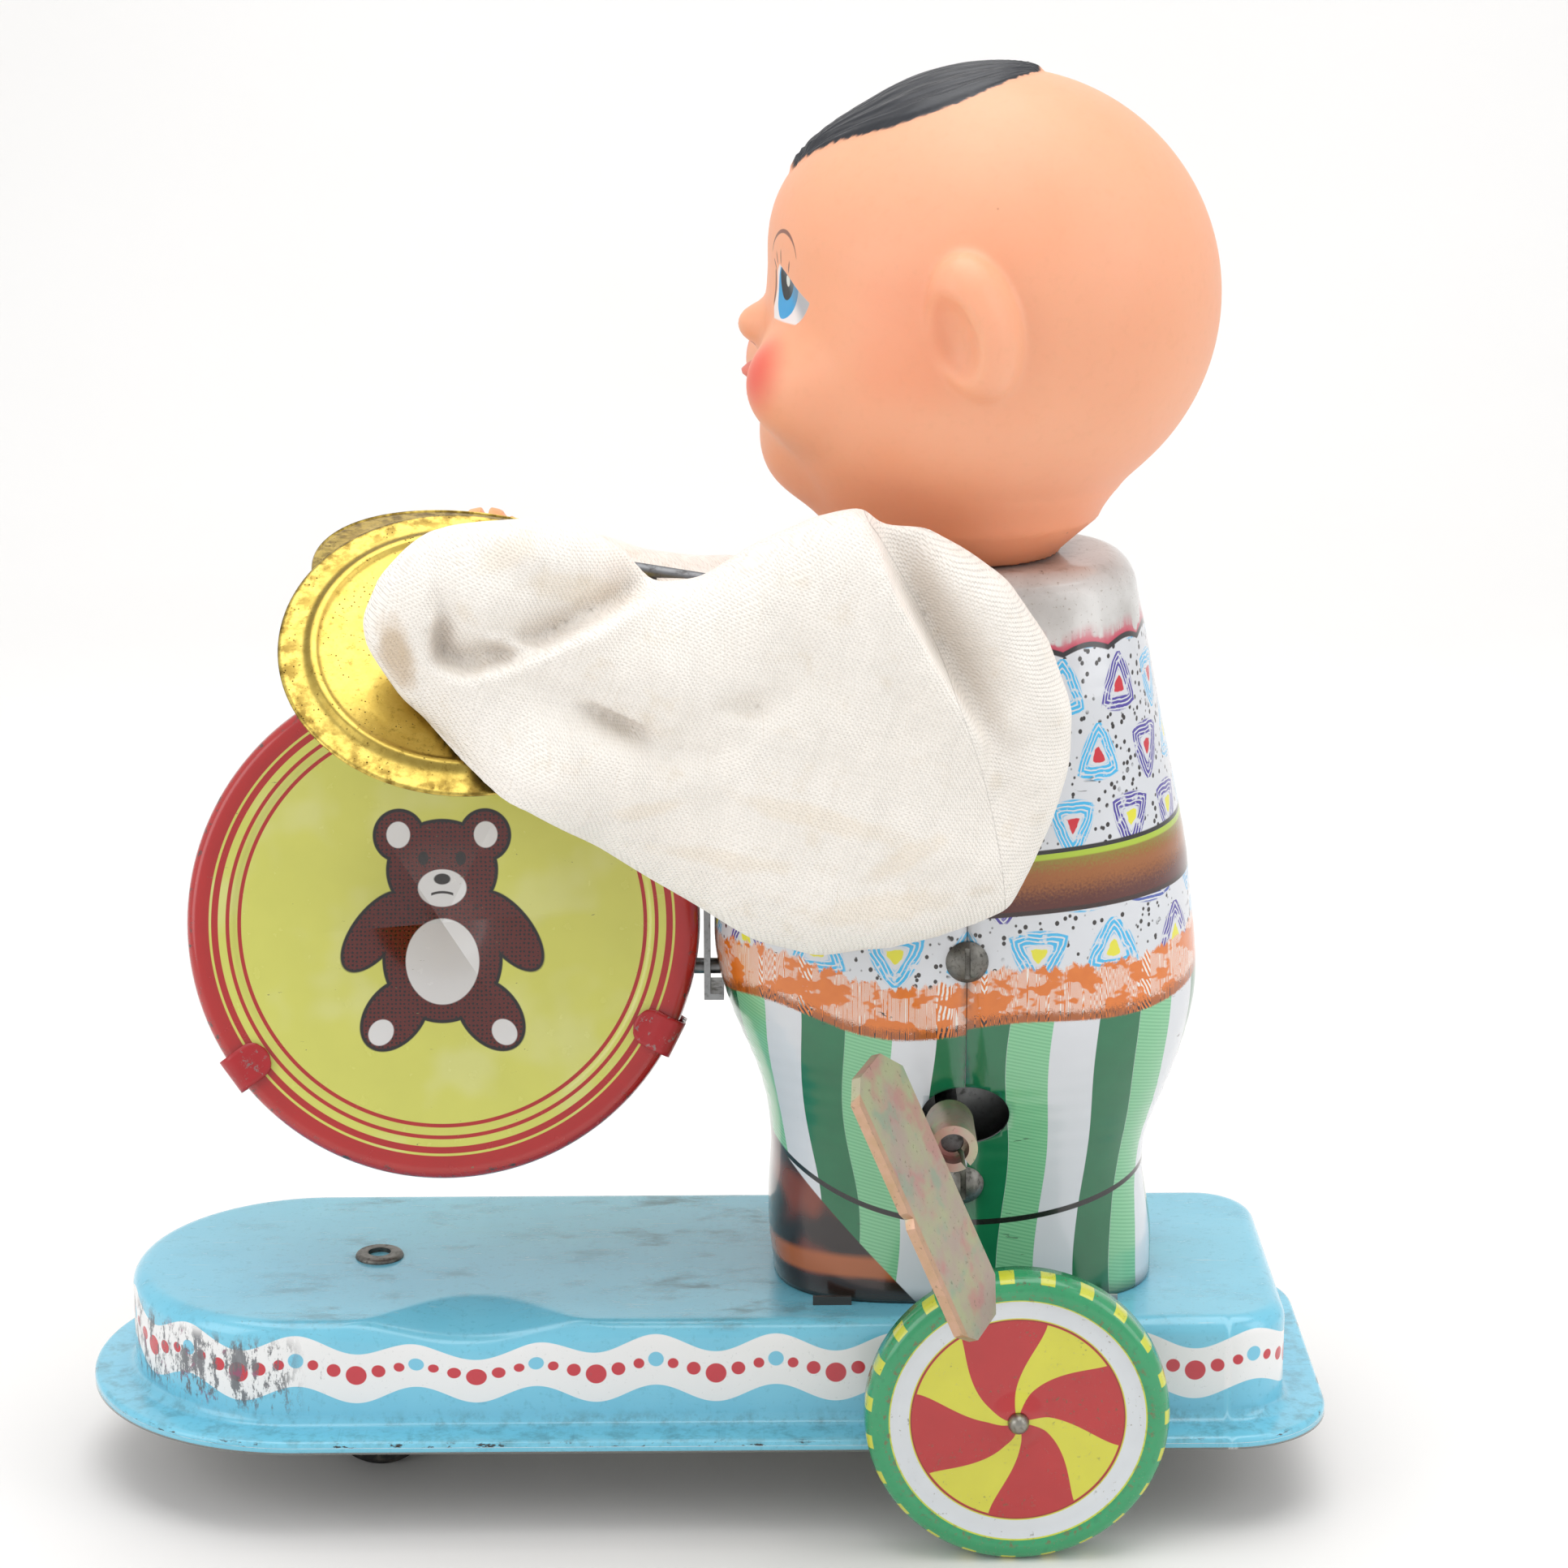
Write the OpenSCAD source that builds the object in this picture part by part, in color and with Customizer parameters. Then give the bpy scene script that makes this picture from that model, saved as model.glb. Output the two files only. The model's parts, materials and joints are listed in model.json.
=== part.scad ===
// Wind-up tin cymbal player on a rolling platform, with a vinyl doll head, a drum and cloth sleeves.
// Millimetres, +Z up, the toy faces -X and its left side faces -Y. The origin is on the ground,
// midway between the front roller and the rear axle.

/* [Platform] */
// Height of the platform's deck above the ground
deck_top = 30.3; // [28:0.1:33]
// Half width of the raised deck
deck_half = 26.9; // [24:0.1:30]
// Foremost point of the raised deck, ahead of the origin
deck_front = 83; // [76:0.5:90]
// Rearmost point of the raised deck, behind the origin
deck_rear = 86.6; // [80:0.1:95]
// Width of the flat flange round the foot of the platform
flange_w = 6.2; // [4:0.1:8]
// Height of the flange above the ground
flange_z = 15.0; // [12:0.1:18]
// Thickness of the tin plate
tin = 0.5; // [0.4:0.05:0.8]

/* [Wheels] */
// Radius of a rear wheel
wheel_r = 21.5; // [18:0.1:24]
// Width of a rear wheel's tread
wheel_w = 7.8; // [6:0.1:10]
// Gap between the platform's flange and a rear wheel
wheel_gap = 1.1; // [0.6:0.1:2]
// Half the distance between the front roller and the rear axle
half_base = 46.4; // [42:0.1:50]
// Radius of the front roller
roller_r = 7.5; // [6.5:0.1:8.5]
// Length of the front roller
roller_w = 16; // [12:0.5:18]

/* [Body] */
// Depth of the body from the belly to the back
body_depth = 70; // [66:0.5:76]
// Half width of the body at its widest
body_half = 26; // [25:0.1:29]
// Height of the body's shoulders above the deck
body_h = 107; // [102:0.5:112]
// Radius of the head
head_r = 32.5; // [29:0.1:36]

/* [Drum and cymbals] */
// Radius of the drum
drum_r = 37; // [32:0.1:39]
// Depth of the drum
drum_w = 16; // [12:0.5:20]
// Lean of the drum on its bracket, in degrees
drum_lean = 15; // [0:0.5:20]
// Radius of a cymbal
cymbal_r = 25; // [21:0.1:27]
// Tilt of a cymbal from level, in degrees
cymbal_tilt = 38; // [30:1:50]

/* [Motor] */
// Size of the gear teeth, as pitch diameter per tooth
mod = 0.8; // [0.7:0.02:0.84]
// Length of the key's wing
key_l = 41; // [34:0.5:44]
// Half the distance between the outsides of the motor's plates
plate_y = 11.5; // [11:0.1:13]

/* [Hidden] */
$fn = 48;
eps = 0.01;
run = 0.06;
gap = 0.3;
seam_x = 39.5;
axle_r = 1.5;
axle_z = wheel_r;
flange_half = deck_half + flange_w;
wheel_in = flange_half + wheel_gap;
wheel_out = wheel_in + wheel_w;
body_front = seam_x - body_depth * 0.51;
body_back = seam_x + body_depth * 0.49;
shoulder_z = deck_top + body_h;
foot_front = body_front + 8.5;
foot_rear = body_back - 6;
foot_half = body_half - 6;
key_x = 37.2;
key_z = deck_top + 30.2;
great_t = 42;
pin_t = 10;
second_t = 30;
axle_t = 20;
gov_t = 8;
ab = mod * (great_t + pin_t) / 2;
bd = mod * (second_t + axle_t) / 2;
bc = mod * (second_t + gov_t) / 2;
ax = half_base - key_x;
az = axle_z - key_z;
ad = sqrt(ax * ax + az * az);
aa = (ab * ab - bd * bd + ad * ad) / (2 * ad);
hh = sqrt(max(0, ab * ab - aa * aa));
sec_x = key_x + aa * ax / ad - hh * az / ad;
sec_z = key_z + aa * az / ad + hh * ax / ad;
gov_a = 195;
gov_x = sec_x + bc * cos(gov_a);
gov_z = sec_z + bc * sin(gov_a);
ang_ab = atan2(sec_z - key_z, sec_x - key_x);
ang_bd = atan2(axle_z - sec_z, half_base - sec_x);
plate_t = 1;
post_z = [deck_top + 18.7, deck_top + 53.7];
screw_top_z = shoulder_z - 3.4;
arm_x = 33;
arm_y = 15;
arm_z = deck_top + 94.5;
bridge_z = arm_z - 6.5;
crank_l = 8;
lever_x = 28;
lever_z = deck_top + 57.7;
cym = [-30.6, 21.5, deck_top + 97.9];
drum_x = -35.2;
drum_z = deck_top + 52.2;
head_x = 45.3;
head_z = shoulder_z + head_r + 3;
neck_z = shoulder_z + 1.2;
roller_z = roller_r;

tin_c = [0.72, 0.73, 0.74];
steel_c = [0.55, 0.56, 0.58];
blue_c = [0.36, 0.72, 0.85];
brass_c = [0.75, 0.62, 0.25];
peach_c = [0.97, 0.70, 0.55];
cloth_c = [0.93, 0.91, 0.87];
red_c = [0.78, 0.12, 0.14];
green_c = [0.16, 0.60, 0.36];

// ---- shared shapes ----
module along_y(x, z, y0, y1, r) {
  translate([x, y1, z]) rotate([90, 0, 0]) cylinder(r = r, h = y1 - y0);
}

module at_y(x, z, y1) {
  translate([x, y1, z]) rotate([90, 0, 0]) children();
}

module slab(x0, x1, y0, y1, z0, z1) {
  translate([x0, y0, z0]) cube([x1 - x0, y1 - y0, z1 - z0]);
}

module round_rect(x0, x1, h, r) {
  translate([x0 + r, -h]) square([x1 - x0 - 2 * r, 2 * h]);
  translate([x0, -h + r]) square([x1 - x0, 2 * h - 2 * r]);
  for (x = [x0 + r, x1 - r], y = [-h + r, h - r]) {
    translate([x, y]) circle(r = r);
  }
}

// plain straight-flanked teeth with backlash, so meshed wheels stay clear as they turn
module teeth2d(n, m) {
  r = n * m / 2;
  rr = r - 1.15 * m;
  rt = r + 0.72 * m;
  p = 360 / n;
  circle(r = rr);
  for (i = [0:n - 1]) {
    rotate(i * p) polygon([[rr - 0.2, -m * 0.92], [r, -m * 0.60], [rt, -m * 0.26],
      [rt, m * 0.26], [r, m * 0.60], [rr - 0.2, m * 0.92]]);
  }
}

function mesh_off(phi, off1, z1, z2) = phi + 180 - (0.5 - (phi - off1) * z1 / 360) * 360 / z2;
off_a = ang_ab;
off_bp = mesh_off(ang_ab, off_a, great_t, pin_t);
off_bw = ang_bd;
off_d = mesh_off(ang_bd, off_bw, second_t, axle_t);
off_c = mesh_off(gov_a, off_bw, second_t, gov_t);

// ---- platform ----
function arc(cx, cz, r, a0, a1, n) =
  [for (i = [0:n]) [cx + r * cos(a0 + (a1 - a0) * i / n), cz + r * sin(a0 + (a1 - a0) * i / n)]];

module rim_profile() {
  f = 2.6;
  outer = concat([[-5, deck_top]], arc(-f, deck_top - f, f, 90, 0, 5),
    arc(1.6, flange_z + 1.6, 1.6, 180, 270, 4),
    arc(flange_w - 0.8, flange_z - 0.8, 0.8, 90, 0, 3), [[flange_w, flange_z - 1.8]]);
  inner = concat([[flange_w - tin, flange_z - 1.8]],
    arc(flange_w - 0.8, flange_z - 0.8, 0.8 - tin, 0, 90, 3),
    arc(1.6, flange_z + 1.6, 1.6 + tin, 270, 180, 4),
    arc(-f, deck_top - f, f - tin, 0, 90, 5), [[-5, deck_top - tin]]);
  polygon(concat(outer, inner));
}

module platform_pan() {
  rc = 9;
  fx = -deck_front + deck_half;
  rx = deck_rear - rc;
  color(blue_c) difference() {
    union() {
      translate([fx, 0, 0]) rotate([0, 0, 90]) rotate_extrude(angle = 180, $fn = 96)
        translate([deck_half, 0]) rim_profile();
      for (s = [0, 1]) mirror([0, s, 0]) {
        translate([rx, -deck_half, 0]) rotate([90, 0, -90]) linear_extrude(rx - fx) rim_profile();
        translate([rx, -deck_half + rc, 0]) rotate([0, 0, -90]) rotate_extrude(angle = 90)
          translate([rc, 0]) rim_profile();
      }
      translate([deck_rear, deck_half - rc, 0]) rotate([90, 0, 0])
        linear_extrude(2 * deck_half - 2 * rc) rim_profile();
      translate([0, 0, deck_top - tin]) linear_extrude(tin) {
        translate([fx, 0]) circle(r = deck_half - 4, $fn = 96);
        translate([fx, -deck_half + 4]) square([rx - fx, 2 * deck_half - 8]);
        translate([rx - 2, -deck_half + rc]) square([rc - 2, 2 * deck_half - 2 * rc]);
        translate([rx, -deck_half + rc]) circle(r = rc - 4);
        translate([rx, deck_half - rc]) circle(r = rc - 4);
      }
    }
    translate([-half_base, 0, deck_top - 5]) cylinder(r = 2.3, h = 10);
    along_y(half_base, axle_z, -deck_half - 2, deck_half + 2, axle_r + run);
    slab(sec_x - 14, sec_x + 14, -plate_y + 3, plate_y - 3, deck_top - 4, deck_top + 1);
    for (s = [-1, 1]) {
      tab_slot(foot_front + 8.5, s);
      tab_slot(foot_rear - 8.5, s);
      for (x = [25, 55]) {
        slab(x - 2.6, x + 2.6, s * (plate_y - plate_t / 2) - 0.7,
          s * (plate_y - plate_t / 2) + 0.7, deck_top - 4, deck_top + 1);
      }
    }
  }
}

module tab_slot(x, s) {
  slab(x - 3.1, x + 3.1, s * (foot_half - tin / 2) - 0.5, s * (foot_half - tin / 2) + 0.5,
    deck_top - 4, deck_top + 1);
}

// ---- front roller under its hollow rivet ----
module caster_rivet() {
  color(steel_c) translate([-half_base, 0, 0]) rotate_extrude() difference() {
    union() {
      translate([1.7, deck_top - 3]) square([0.5, 3.7]);
      translate([1.9, deck_top + 0.02]) square([1.1, 0.7]);
      translate([2.9, deck_top + 0.02]) intersection() {
        circle(r = 0.7);
        translate([-1, 0]) square([2, 2]);
      }
      translate([1.7, deck_top - 3]) square([1.7, 0.5]);
    }
  }
}

module caster_bracket() {
  t = 0.9;
  z1 = deck_top - tin - gap;
  y = roller_w / 2 + gap + t;
  color(tin_c) difference() {
    union() {
      translate([-half_base, 0, z1 - t]) cylinder(r = 6, h = t);
      slab(-half_base - 4, -half_base + 4, -y, y, z1 - t, z1);
      for (s = [-1, 1]) {
        slab(-half_base - 4, -half_base + 4, min(s * y, s * (y - t)), max(s * y, s * (y - t)),
          roller_z, z1);
        along_y(-half_base, roller_z, min(s * y, s * (y - t)), max(s * y, s * (y - t)), 4);
      }
    }
    translate([-half_base, 0, z1 - 5]) cylinder(r = 2.2 + run, h = 10);
    along_y(-half_base, roller_z, -y - 1, y + 1, 1.0);
  }
}

module roller_pin() {
  y = roller_w / 2 + gap + 0.9;
  color(steel_c) {
    along_y(-half_base, roller_z, -y - 0.6, y + 0.6, 1.0);
    along_y(-half_base, roller_z, y, y + 0.7, 1.7);
    along_y(-half_base, roller_z, -y - 0.7, -y, 1.7);
  }
}

module front_roller() {
  w = roller_w / 2;
  color([0.12, 0.12, 0.11]) at_y(-half_base, roller_z, 0) rotate_extrude() difference() {
    polygon([[1.0 + run, -w], [roller_r - 0.8, -w], [roller_r, -w + 0.8], [roller_r, w - 0.8],
      [roller_r - 0.8, w], [1.0 + run, w]]);
    for (y = [-w / 2, 0, w / 2]) {
      translate([roller_r, y]) circle(r = 0.5);
    }
  }
}

// ---- rear axle and pressed tin wheels ----
module rear_axle() {
  y = wheel_out + 0.4;
  color(steel_c) {
    along_y(half_base, axle_z, -y, y, axle_r);
    for (s = [-1, 1]) translate([half_base, s * y, axle_z]) sphere(r = axle_r);
  }
}

module gear_at(x, z, n, off, y0, w, bore) {
  at_y(x, z, y0 + w) rotate(off) linear_extrude(w) difference() {
    teeth2d(n, mod);
    circle(r = bore);
  }
}

module axle_gear() {
  color(brass_c) difference() {
    union() {
      gear_at(half_base, axle_z, axle_t, off_d, -5.0, 2.2, axle_r);
      along_y(half_base, axle_z, -2.9, 0.5, 3);
    }
    along_y(half_base, axle_z, -9, 9, axle_r);
  }
}

module wheel_outer(s) {
  w = wheel_w;
  r = wheel_r;
  color(green_c) at_y(half_base, axle_z, 0) translate([0, 0, s * wheel_out])
    mirror([0, 0, s > 0 ? 1 : 0]) rotate_extrude($fn = 96)
    polygon([[axle_r, -0.2], [2.4, 0], [4, 0.9], [15.2 * r / 21.5, 0.9], [r - 3.6, 0.7],
      [r - 3.3, 0.1], [r - 2.6, 0], [r - 1.2, 0.15], [r - 0.4, 0.8], [r, 1.9], [r, w * 0.62],
      [r - tin, w * 0.62], [r - tin, 2.1], [r - 0.8, 1.2], [r - 1.4, 0.65], [r - 2.6, tin],
      [r - 3.0, tin + 0.1], [r - 3.3, 0.7 + tin], [15.2 * r / 21.5, 0.9 + tin], [3.9, 0.9 + tin],
      [2.2, tin], [axle_r, tin - 0.2]]);
}

module wheel_inner(s) {
  w = wheel_w;
  r = wheel_r - tin - 0.08;
  color(green_c) at_y(half_base, axle_z, 0) translate([0, 0, s * wheel_out])
    mirror([0, 0, s > 0 ? 1 : 0]) rotate_extrude($fn = 96)
    polygon([[axle_r, w - 1.6], [3, w - 1.6], [5, w - 0.9], [r - 4, w - 0.9], [r - 3, w - tin],
      [r - 1.6, w - tin], [r - 0.9, w - tin - 0.4], [r - tin, w - 2], [r - tin, 3.2], [r, 3.2],
      [r, w - 1.8], [r - 0.5, w - 0.5], [r - 1.4, w], [r - 3.2, w], [r - 4.2, w - 0.9 + tin],
      [4.8, w - 0.9 + tin], [2.8, w - 1.6 + tin], [axle_r, w - 1.6 + tin]]);
}

module left_wheel_outer() { wheel_outer(1); }
module left_wheel_inner() { wheel_inner(1); }
module right_wheel_outer() { wheel_outer(-1); }
module right_wheel_inner() { wheel_inner(-1); }

// ---- body shell in two pressed halves ----
module body_slice(z, x0, x1, h, r, d) {
  translate([0, 0, z]) linear_extrude(eps) round_rect(x0 + d, x1 - d, h - d, r - d * 0.8);
}

module body_solid(d) {
  hip_z = deck_top + 46;
  chest_z = deck_top + 92;
  waist_z = deck_top + 20;
  translate([0, 0, deck_top - (d > 0 ? 1 : 0)]) linear_extrude(waist_z - deck_top + (d > 0 ? 1 : 0))
    round_rect(foot_front + d, foot_rear - d, foot_half - d, 13 - d * 0.8);
  hull() {
    body_slice(waist_z - eps, foot_front, foot_rear, foot_half, 13, d);
    body_slice(hip_z, body_front, body_back, body_half, 17, d);
  }
  hull() {
    body_slice(hip_z - eps, body_front, body_back, body_half, 17, d);
    body_slice(chest_z, body_front + 9, body_back - 6.5, body_half - 2, 15, d);
  }
  hull() {
    body_slice(chest_z - eps, body_front + 9, body_back - 6.5, body_half - 2, 15, d);
    body_slice(shoulder_z - d, seam_x - 19, seam_x + 19.5, body_half - 8.5, 12, d);
  }
}

module torso_shell() {
  difference() {
    body_solid(0);
    body_solid(tin);
    along_y(seam_x, key_z, -body_half - 5, -plate_y - 4, 6);
    for (z = post_z) {
      along_y(seam_x, z, -body_half - 5, body_half + 5, 1.6);
    }
    along_y(seam_x, screw_top_z, -body_half, body_half, 1.6);
    translate([seam_x, 0, shoulder_z - 3]) cylinder(r = 7.5, h = 6);
    for (s = [-1, 1]) {
      slab(-20, arm_x - 4, min(s * 12, s * 60), max(s * 12, s * 60), arm_z - 6, arm_z + 6);
    }
  }
}

module torso_tabs(x) {
  for (s = [-1, 1]) {
    y = s * (foot_half - tin / 2);
    slab(x - 2.8, x + 2.8, y - tin / 2, y + tin / 2, deck_top - tin - 1, deck_top + 0.6);
    slab(x - 2.8, x + 2.8, min(y - s * 3, y + s * tin / 2), max(y - s * 3, y + s * tin / 2),
      deck_top - tin - 1, deck_top - tin - 0.5);
  }
}

module torso_front() {
  color([0.95, 0.95, 0.93]) {
    difference() {
      intersection() {
        torso_shell();
        slab(-50, seam_x - 0.05, -60, 60, 0, 300);
      }
      for (z = [drum_z - 7, drum_z + 7]) {
        translate([-20, 0, z]) rotate([0, 90, 0]) cylinder(r = 1.3, h = 40);
      }
    }
    torso_tabs(foot_front + 8.5);
  }
}

module torso_rear() {
  color([0.93, 0.94, 0.92]) {
    intersection() {
      torso_shell();
      slab(seam_x + 0.05, 200, -60, 60, 0, 300);
    }
    torso_tabs(foot_rear - 8.5);
  }
}

function side_y(z) = z < deck_top + 20 ? foot_half :
  z < deck_top + 46 ? foot_half + 6 * (z - deck_top - 20) / 26 :
  z < deck_top + 92 ? body_half - 2 * (z - deck_top - 46) / 46 :
  body_half - 2 - 6.5 * (z - deck_top - 92) / (body_h - 92);

module slot_screw(z, s, y, l) {
  difference() {
    union() {
      translate([seam_x, s * (y + 0.06), z]) rotate([s * -90, 0, 0]) rotate_extrude() intersection() {
        translate([0, -2.1]) circle(r = 3.7);
        square([3, 3]);
      }
      along_y(seam_x, z, min(s * (y + 0.1), s * (y - l)), max(s * (y + 0.1), s * (y - l)), 1.4);
    }
    slab(seam_x - 0.4, seam_x + 0.4, min(s * (y + 0.9), s * (y + 3)),
      max(s * (y + 0.9), s * (y + 3)), z - 4, z + 4);
  }
}

module seam_screws() {
  color(steel_c) for (s = [-1, 1]) {
    for (z = post_z) slot_screw(z, s, side_y(z + 0.8) + 0.35, 5);
    slot_screw(screw_top_z, s, side_y(screw_top_z - 3.2) + 0.2, 5);
  }
}

module screw_posts() {
  color(tin_c) for (s = [-1, 1], z = post_z) {
    y = side_y(z) - tin - 0.55;
    difference() {
      along_y(seam_x, z, min(s * plate_y, s * y), max(s * plate_y, s * y), 2.4);
      along_y(seam_x, z, min(s * (y - 5.5), s * (y + 1)), max(s * (y - 5.5), s * (y + 1)), 1.4);
    }
  }
}

module collar_spacer() {
  y = side_y(screw_top_z) - tin - 0.9;
  color(tin_c) difference() {
    along_y(seam_x, screw_top_z, -y, y, 1.9);
    along_y(seam_x, screw_top_z, -y - 1, -y + 4.6, 1.4);
    along_y(seam_x, screw_top_z, y - 4.6, y + 1, 1.4);
  }
}

// ---- neck and vinyl head ----
module neck_plug() {
  color([0.85, 0.8, 0.75]) difference() {
    union() {
      translate([seam_x, 0, shoulder_z - tin - 0.9]) cylinder(r = 8.8, h = 0.9);
      translate([seam_x, 0, shoulder_z - tin - 0.9]) cylinder(r = 7.4, h = 7.4);
      translate([seam_x, 0, shoulder_z + 5.2]) cylinder(r1 = 8.6, r2 = 7.6, h = 1.6);
    }
    translate([seam_x, 0, shoulder_z - 3]) cylinder(r = 5.6, h = 12);
  }
}

module head_solid(d) {
  k = head_r / 32.5;
  translate([head_x, 0, head_z - 1]) sphere(r = head_r - d, $fn = 80);
  translate([head_x - 13 * k, 0, head_z - 10 * k]) sphere(r = 23.5 * k - d, $fn = 64);
  for (s = [-1, 1]) {
    translate([head_x - 21.5 * k, s * 12.5 * k, head_z - 10.5 * k]) sphere(r = 11.5 * k - d, $fn = 40);
  }
  translate([head_x - 25 * k, 0, head_z - 21 * k]) sphere(r = 9 * k - d, $fn = 40);
}

module head() {
  k = head_r / 32.5;
  color(peach_c) difference() {
    union() {
      head_solid(0);
      translate([head_x - 34 * k, 0, head_z - 3.5 * k]) sphere(r = 3.4 * k);
      translate([head_x - 33.4 * k, 0, head_z - 12 * k]) sphere(r = 2.6 * k);
      for (s = [-1, 1]) {
        translate([head_x - 5 * k, s * (head_r - 0.5), head_z - 4 * k]) rotate([s * -84, 20, 0])
          rotate_extrude() translate([5.2 * k, 0]) circle(r = 2.3 * k, $fn = 20);
      }
      translate([seam_x, 0, shoulder_z + 1]) cylinder(r = 12, h = 8);
    }
    difference() {
      head_solid(1.8);
      translate([seam_x, 0, shoulder_z - 9]) cylinder(r = 12, h = 14);
    }
    translate([seam_x, 0, shoulder_z - 5]) cylinder(r = 7.4 + run, h = 12);
    translate([seam_x, 0, shoulder_z + 5.2 - gap]) cylinder(r = 9.2, h = 6);
  }
}

// ---- drum ----
module drum_frame() {
  translate([drum_x, 0, drum_z]) rotate([-drum_lean, 0, 0]) rotate([90, 0, 0]) children();
}

module drum_pan(s) {
  r = drum_r;
  h = drum_w / 2;
  mirror([0, 0, s < 0 ? 1 : 0]) rotate_extrude($fn = 96)
    polygon([[0, h - 1.0], [r - 7.6, h - 1.0], [r - 7, h - 0.5], [r - 1.6, h - 0.1], [r - 0.9, h],
      [r - 0.2, h - 0.5], [r, h - 1.4], [r, h - 4.5], [r - tin, h - 4.5], [r - tin, h - 1.5],
      [r - 0.7, h - 0.8], [r - 1.1, h - tin - 0.1], [r - 1.8, h - tin - 0.1],
      [r - 6.9, h - 0.5 - tin], [r - 7.5, h - 1 - tin], [0, h - 1 - tin]]);
}

module drum_face_left() {
  color(red_c) drum_frame() drum_pan(1);
}

module drum_face_right() {
  color(red_c) drum_frame() drum_pan(-1);
}

module drum_hoop() {
  h = drum_w / 2;
  ri = drum_r - tin - 0.1;
  color(tin_c) difference() {
    drum_frame() {
      difference() {
        cylinder(r = ri, h = drum_w - 4, center = true, $fn = 96);
        cylinder(r = ri - tin, h = drum_w, center = true, $fn = 96);
      }
      for (a = [-27, -144, 90], s = [-1, 1]) rotate(a) {
        slab(drum_r + 0.06, drum_r + 0.56, -2.6, 2.6, s < 0 ? -h - 0.06 : 0.2, s < 0 ? -0.2 : h + 0.06);
        slab(drum_r - 3.6, drum_r + 0.56, -2.6, 2.6, s < 0 ? -h - 0.56 : h + 0.06,
          s < 0 ? -h - 0.06 : h + 0.56);
        slab(ri - tin, drum_r + 0.56, -2.6, 2.6, -1.2, 1.2);
      }
    }
    translate([drum_x, 0, drum_z - 7]) rotate([0, 90, 0]) cylinder(r = 1.2, h = drum_r + 6);
    translate([drum_x, 0, drum_z + 7]) rotate([0, 90, 0]) cylinder(r = 1.2, h = drum_r + 6);
  }
}

module drum_bracket() {
  x0 = drum_x + drum_r + 0.65;
  color(tin_c) {
    difference() {
      union() {
        slab(x0, x0 + 0.9, -4, 4, drum_z - 11, drum_z + 11);
        slab(x0, body_front + 6, -4, 4, drum_z - 11, drum_z - 10.1);
        slab(x0, body_front + 6, -4, 4, drum_z + 10.1, drum_z + 11);
      }
      body_solid(-0.05);
      drum_frame() cylinder(r = drum_r + 0.05, h = 9, center = true);
    }
    for (z = [drum_z - 7, drum_z + 7]) {
      translate([x0 - 1.6, 0, z]) rotate([0, 90, 0]) cylinder(r = 1.15, h = 2);
      translate([x0 + 0.85, 0, z]) rotate([0, 90, 0]) cylinder(r = 1.15, h = body_front - x0 + 4.5);
    }
  }
}

// ---- spring motor ----
module motor_plate(s) {
  y0 = s > 0 ? plate_y - plate_t : -plate_y;
  y1 = y0 + plate_t;
  difference() {
    union() {
      slab(19, 63.6, y0, y1, deck_top + 0.05, deck_top + 60);
      for (x = [25, 55]) {
        slab(x - 2.4, x + 2.4, y0 + 0.1, y1 - 0.1, deck_top - tin - 1.2, deck_top + 1);
        slab(x - 2.4, x + 2.4, s > 0 ? y0 - 2 : y0 + 0.1, s > 0 ? y1 - 0.1 : y1 + 2,
          deck_top - tin - 1.2, deck_top - tin - 0.5);
      }
    }
    slab(33.5, 50.5, y0 - 1, y1 + 1, deck_top - 1, deck_top + 2.5);
    along_y(key_x, key_z, y0 - 1, y1 + 1, 1.6 + run);
    along_y(sec_x, sec_z, y0 - 1, y1 + 1, 1.2 + run);
    along_y(gov_x, gov_z, y0 - 1, y1 + 1, 0.8 + run);
    for (p = pillar_at) along_y(p[0], p[1], y0 - 1, y1 + 1, 1.1);
    if (s > 0) along_y(lever_x, lever_z, y0 - 1, y1 + 1, 1.1);
    slab(41, 58, y0 - 1, y1 + 1, key_z + 3, deck_top + 41);
  }
}

pillar_at = [[21.5, deck_top + 4.5], [61.2, deck_top + 7], [21.5, deck_top + 50], [58.6, deck_top + 57.5]];

module motor_plate_left() { color(tin_c) motor_plate(-1); }
module motor_plate_right() { color(tin_c) motor_plate(1); }

module motor_pillars() {
  color(steel_c) for (p = pillar_at) {
    along_y(p[0], p[1], -plate_y + plate_t, plate_y - plate_t, 1.9);
    along_y(p[0], p[1], -plate_y - 0.7, plate_y + 0.7, 1.1);
  }
}

// the wound strip: a spiral that runs out to a pillar and hooks round it
spring_p = pillar_at[2];
spring_a = atan2(spring_p[1] - key_z, spring_p[0] - key_x);
spring_l = norm([spring_p[0] - key_x, spring_p[1] - key_z]);
spring_path = concat([for (i = [0:150]) let (a = i * 360 * 6 / 150) (4.6 + 9.3 * i / 150) * [cos(a), sin(a)]],
  [for (i = [1:3]) [13.9 + (spring_l - 15.5) * i / 3, -0.7 * i]],
  [for (i = [0:8]) [spring_l, 0] + 2.25 * [cos(-110 + i * 22), sin(-110 + i * 22)]]);

function side(i) = let (a = spring_path[max(0, i - 1)], b = spring_path[min(len(spring_path) - 1, i + 1)],
  d = (b - a) / norm(b - a)) [-d[1], d[0]];

module mainspring() {
  w = 8.5;
  m = len(spring_path) - 1;
  color([0.35, 0.38, 0.45]) at_y(key_x, key_z, w) rotate(spring_a) linear_extrude(w)
    polygon(concat([for (i = [0:m]) spring_path[i] + 0.22 * side(i)],
      [for (i = [m:-1:0]) spring_path[i] - 0.22 * side(i)]));
}

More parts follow.
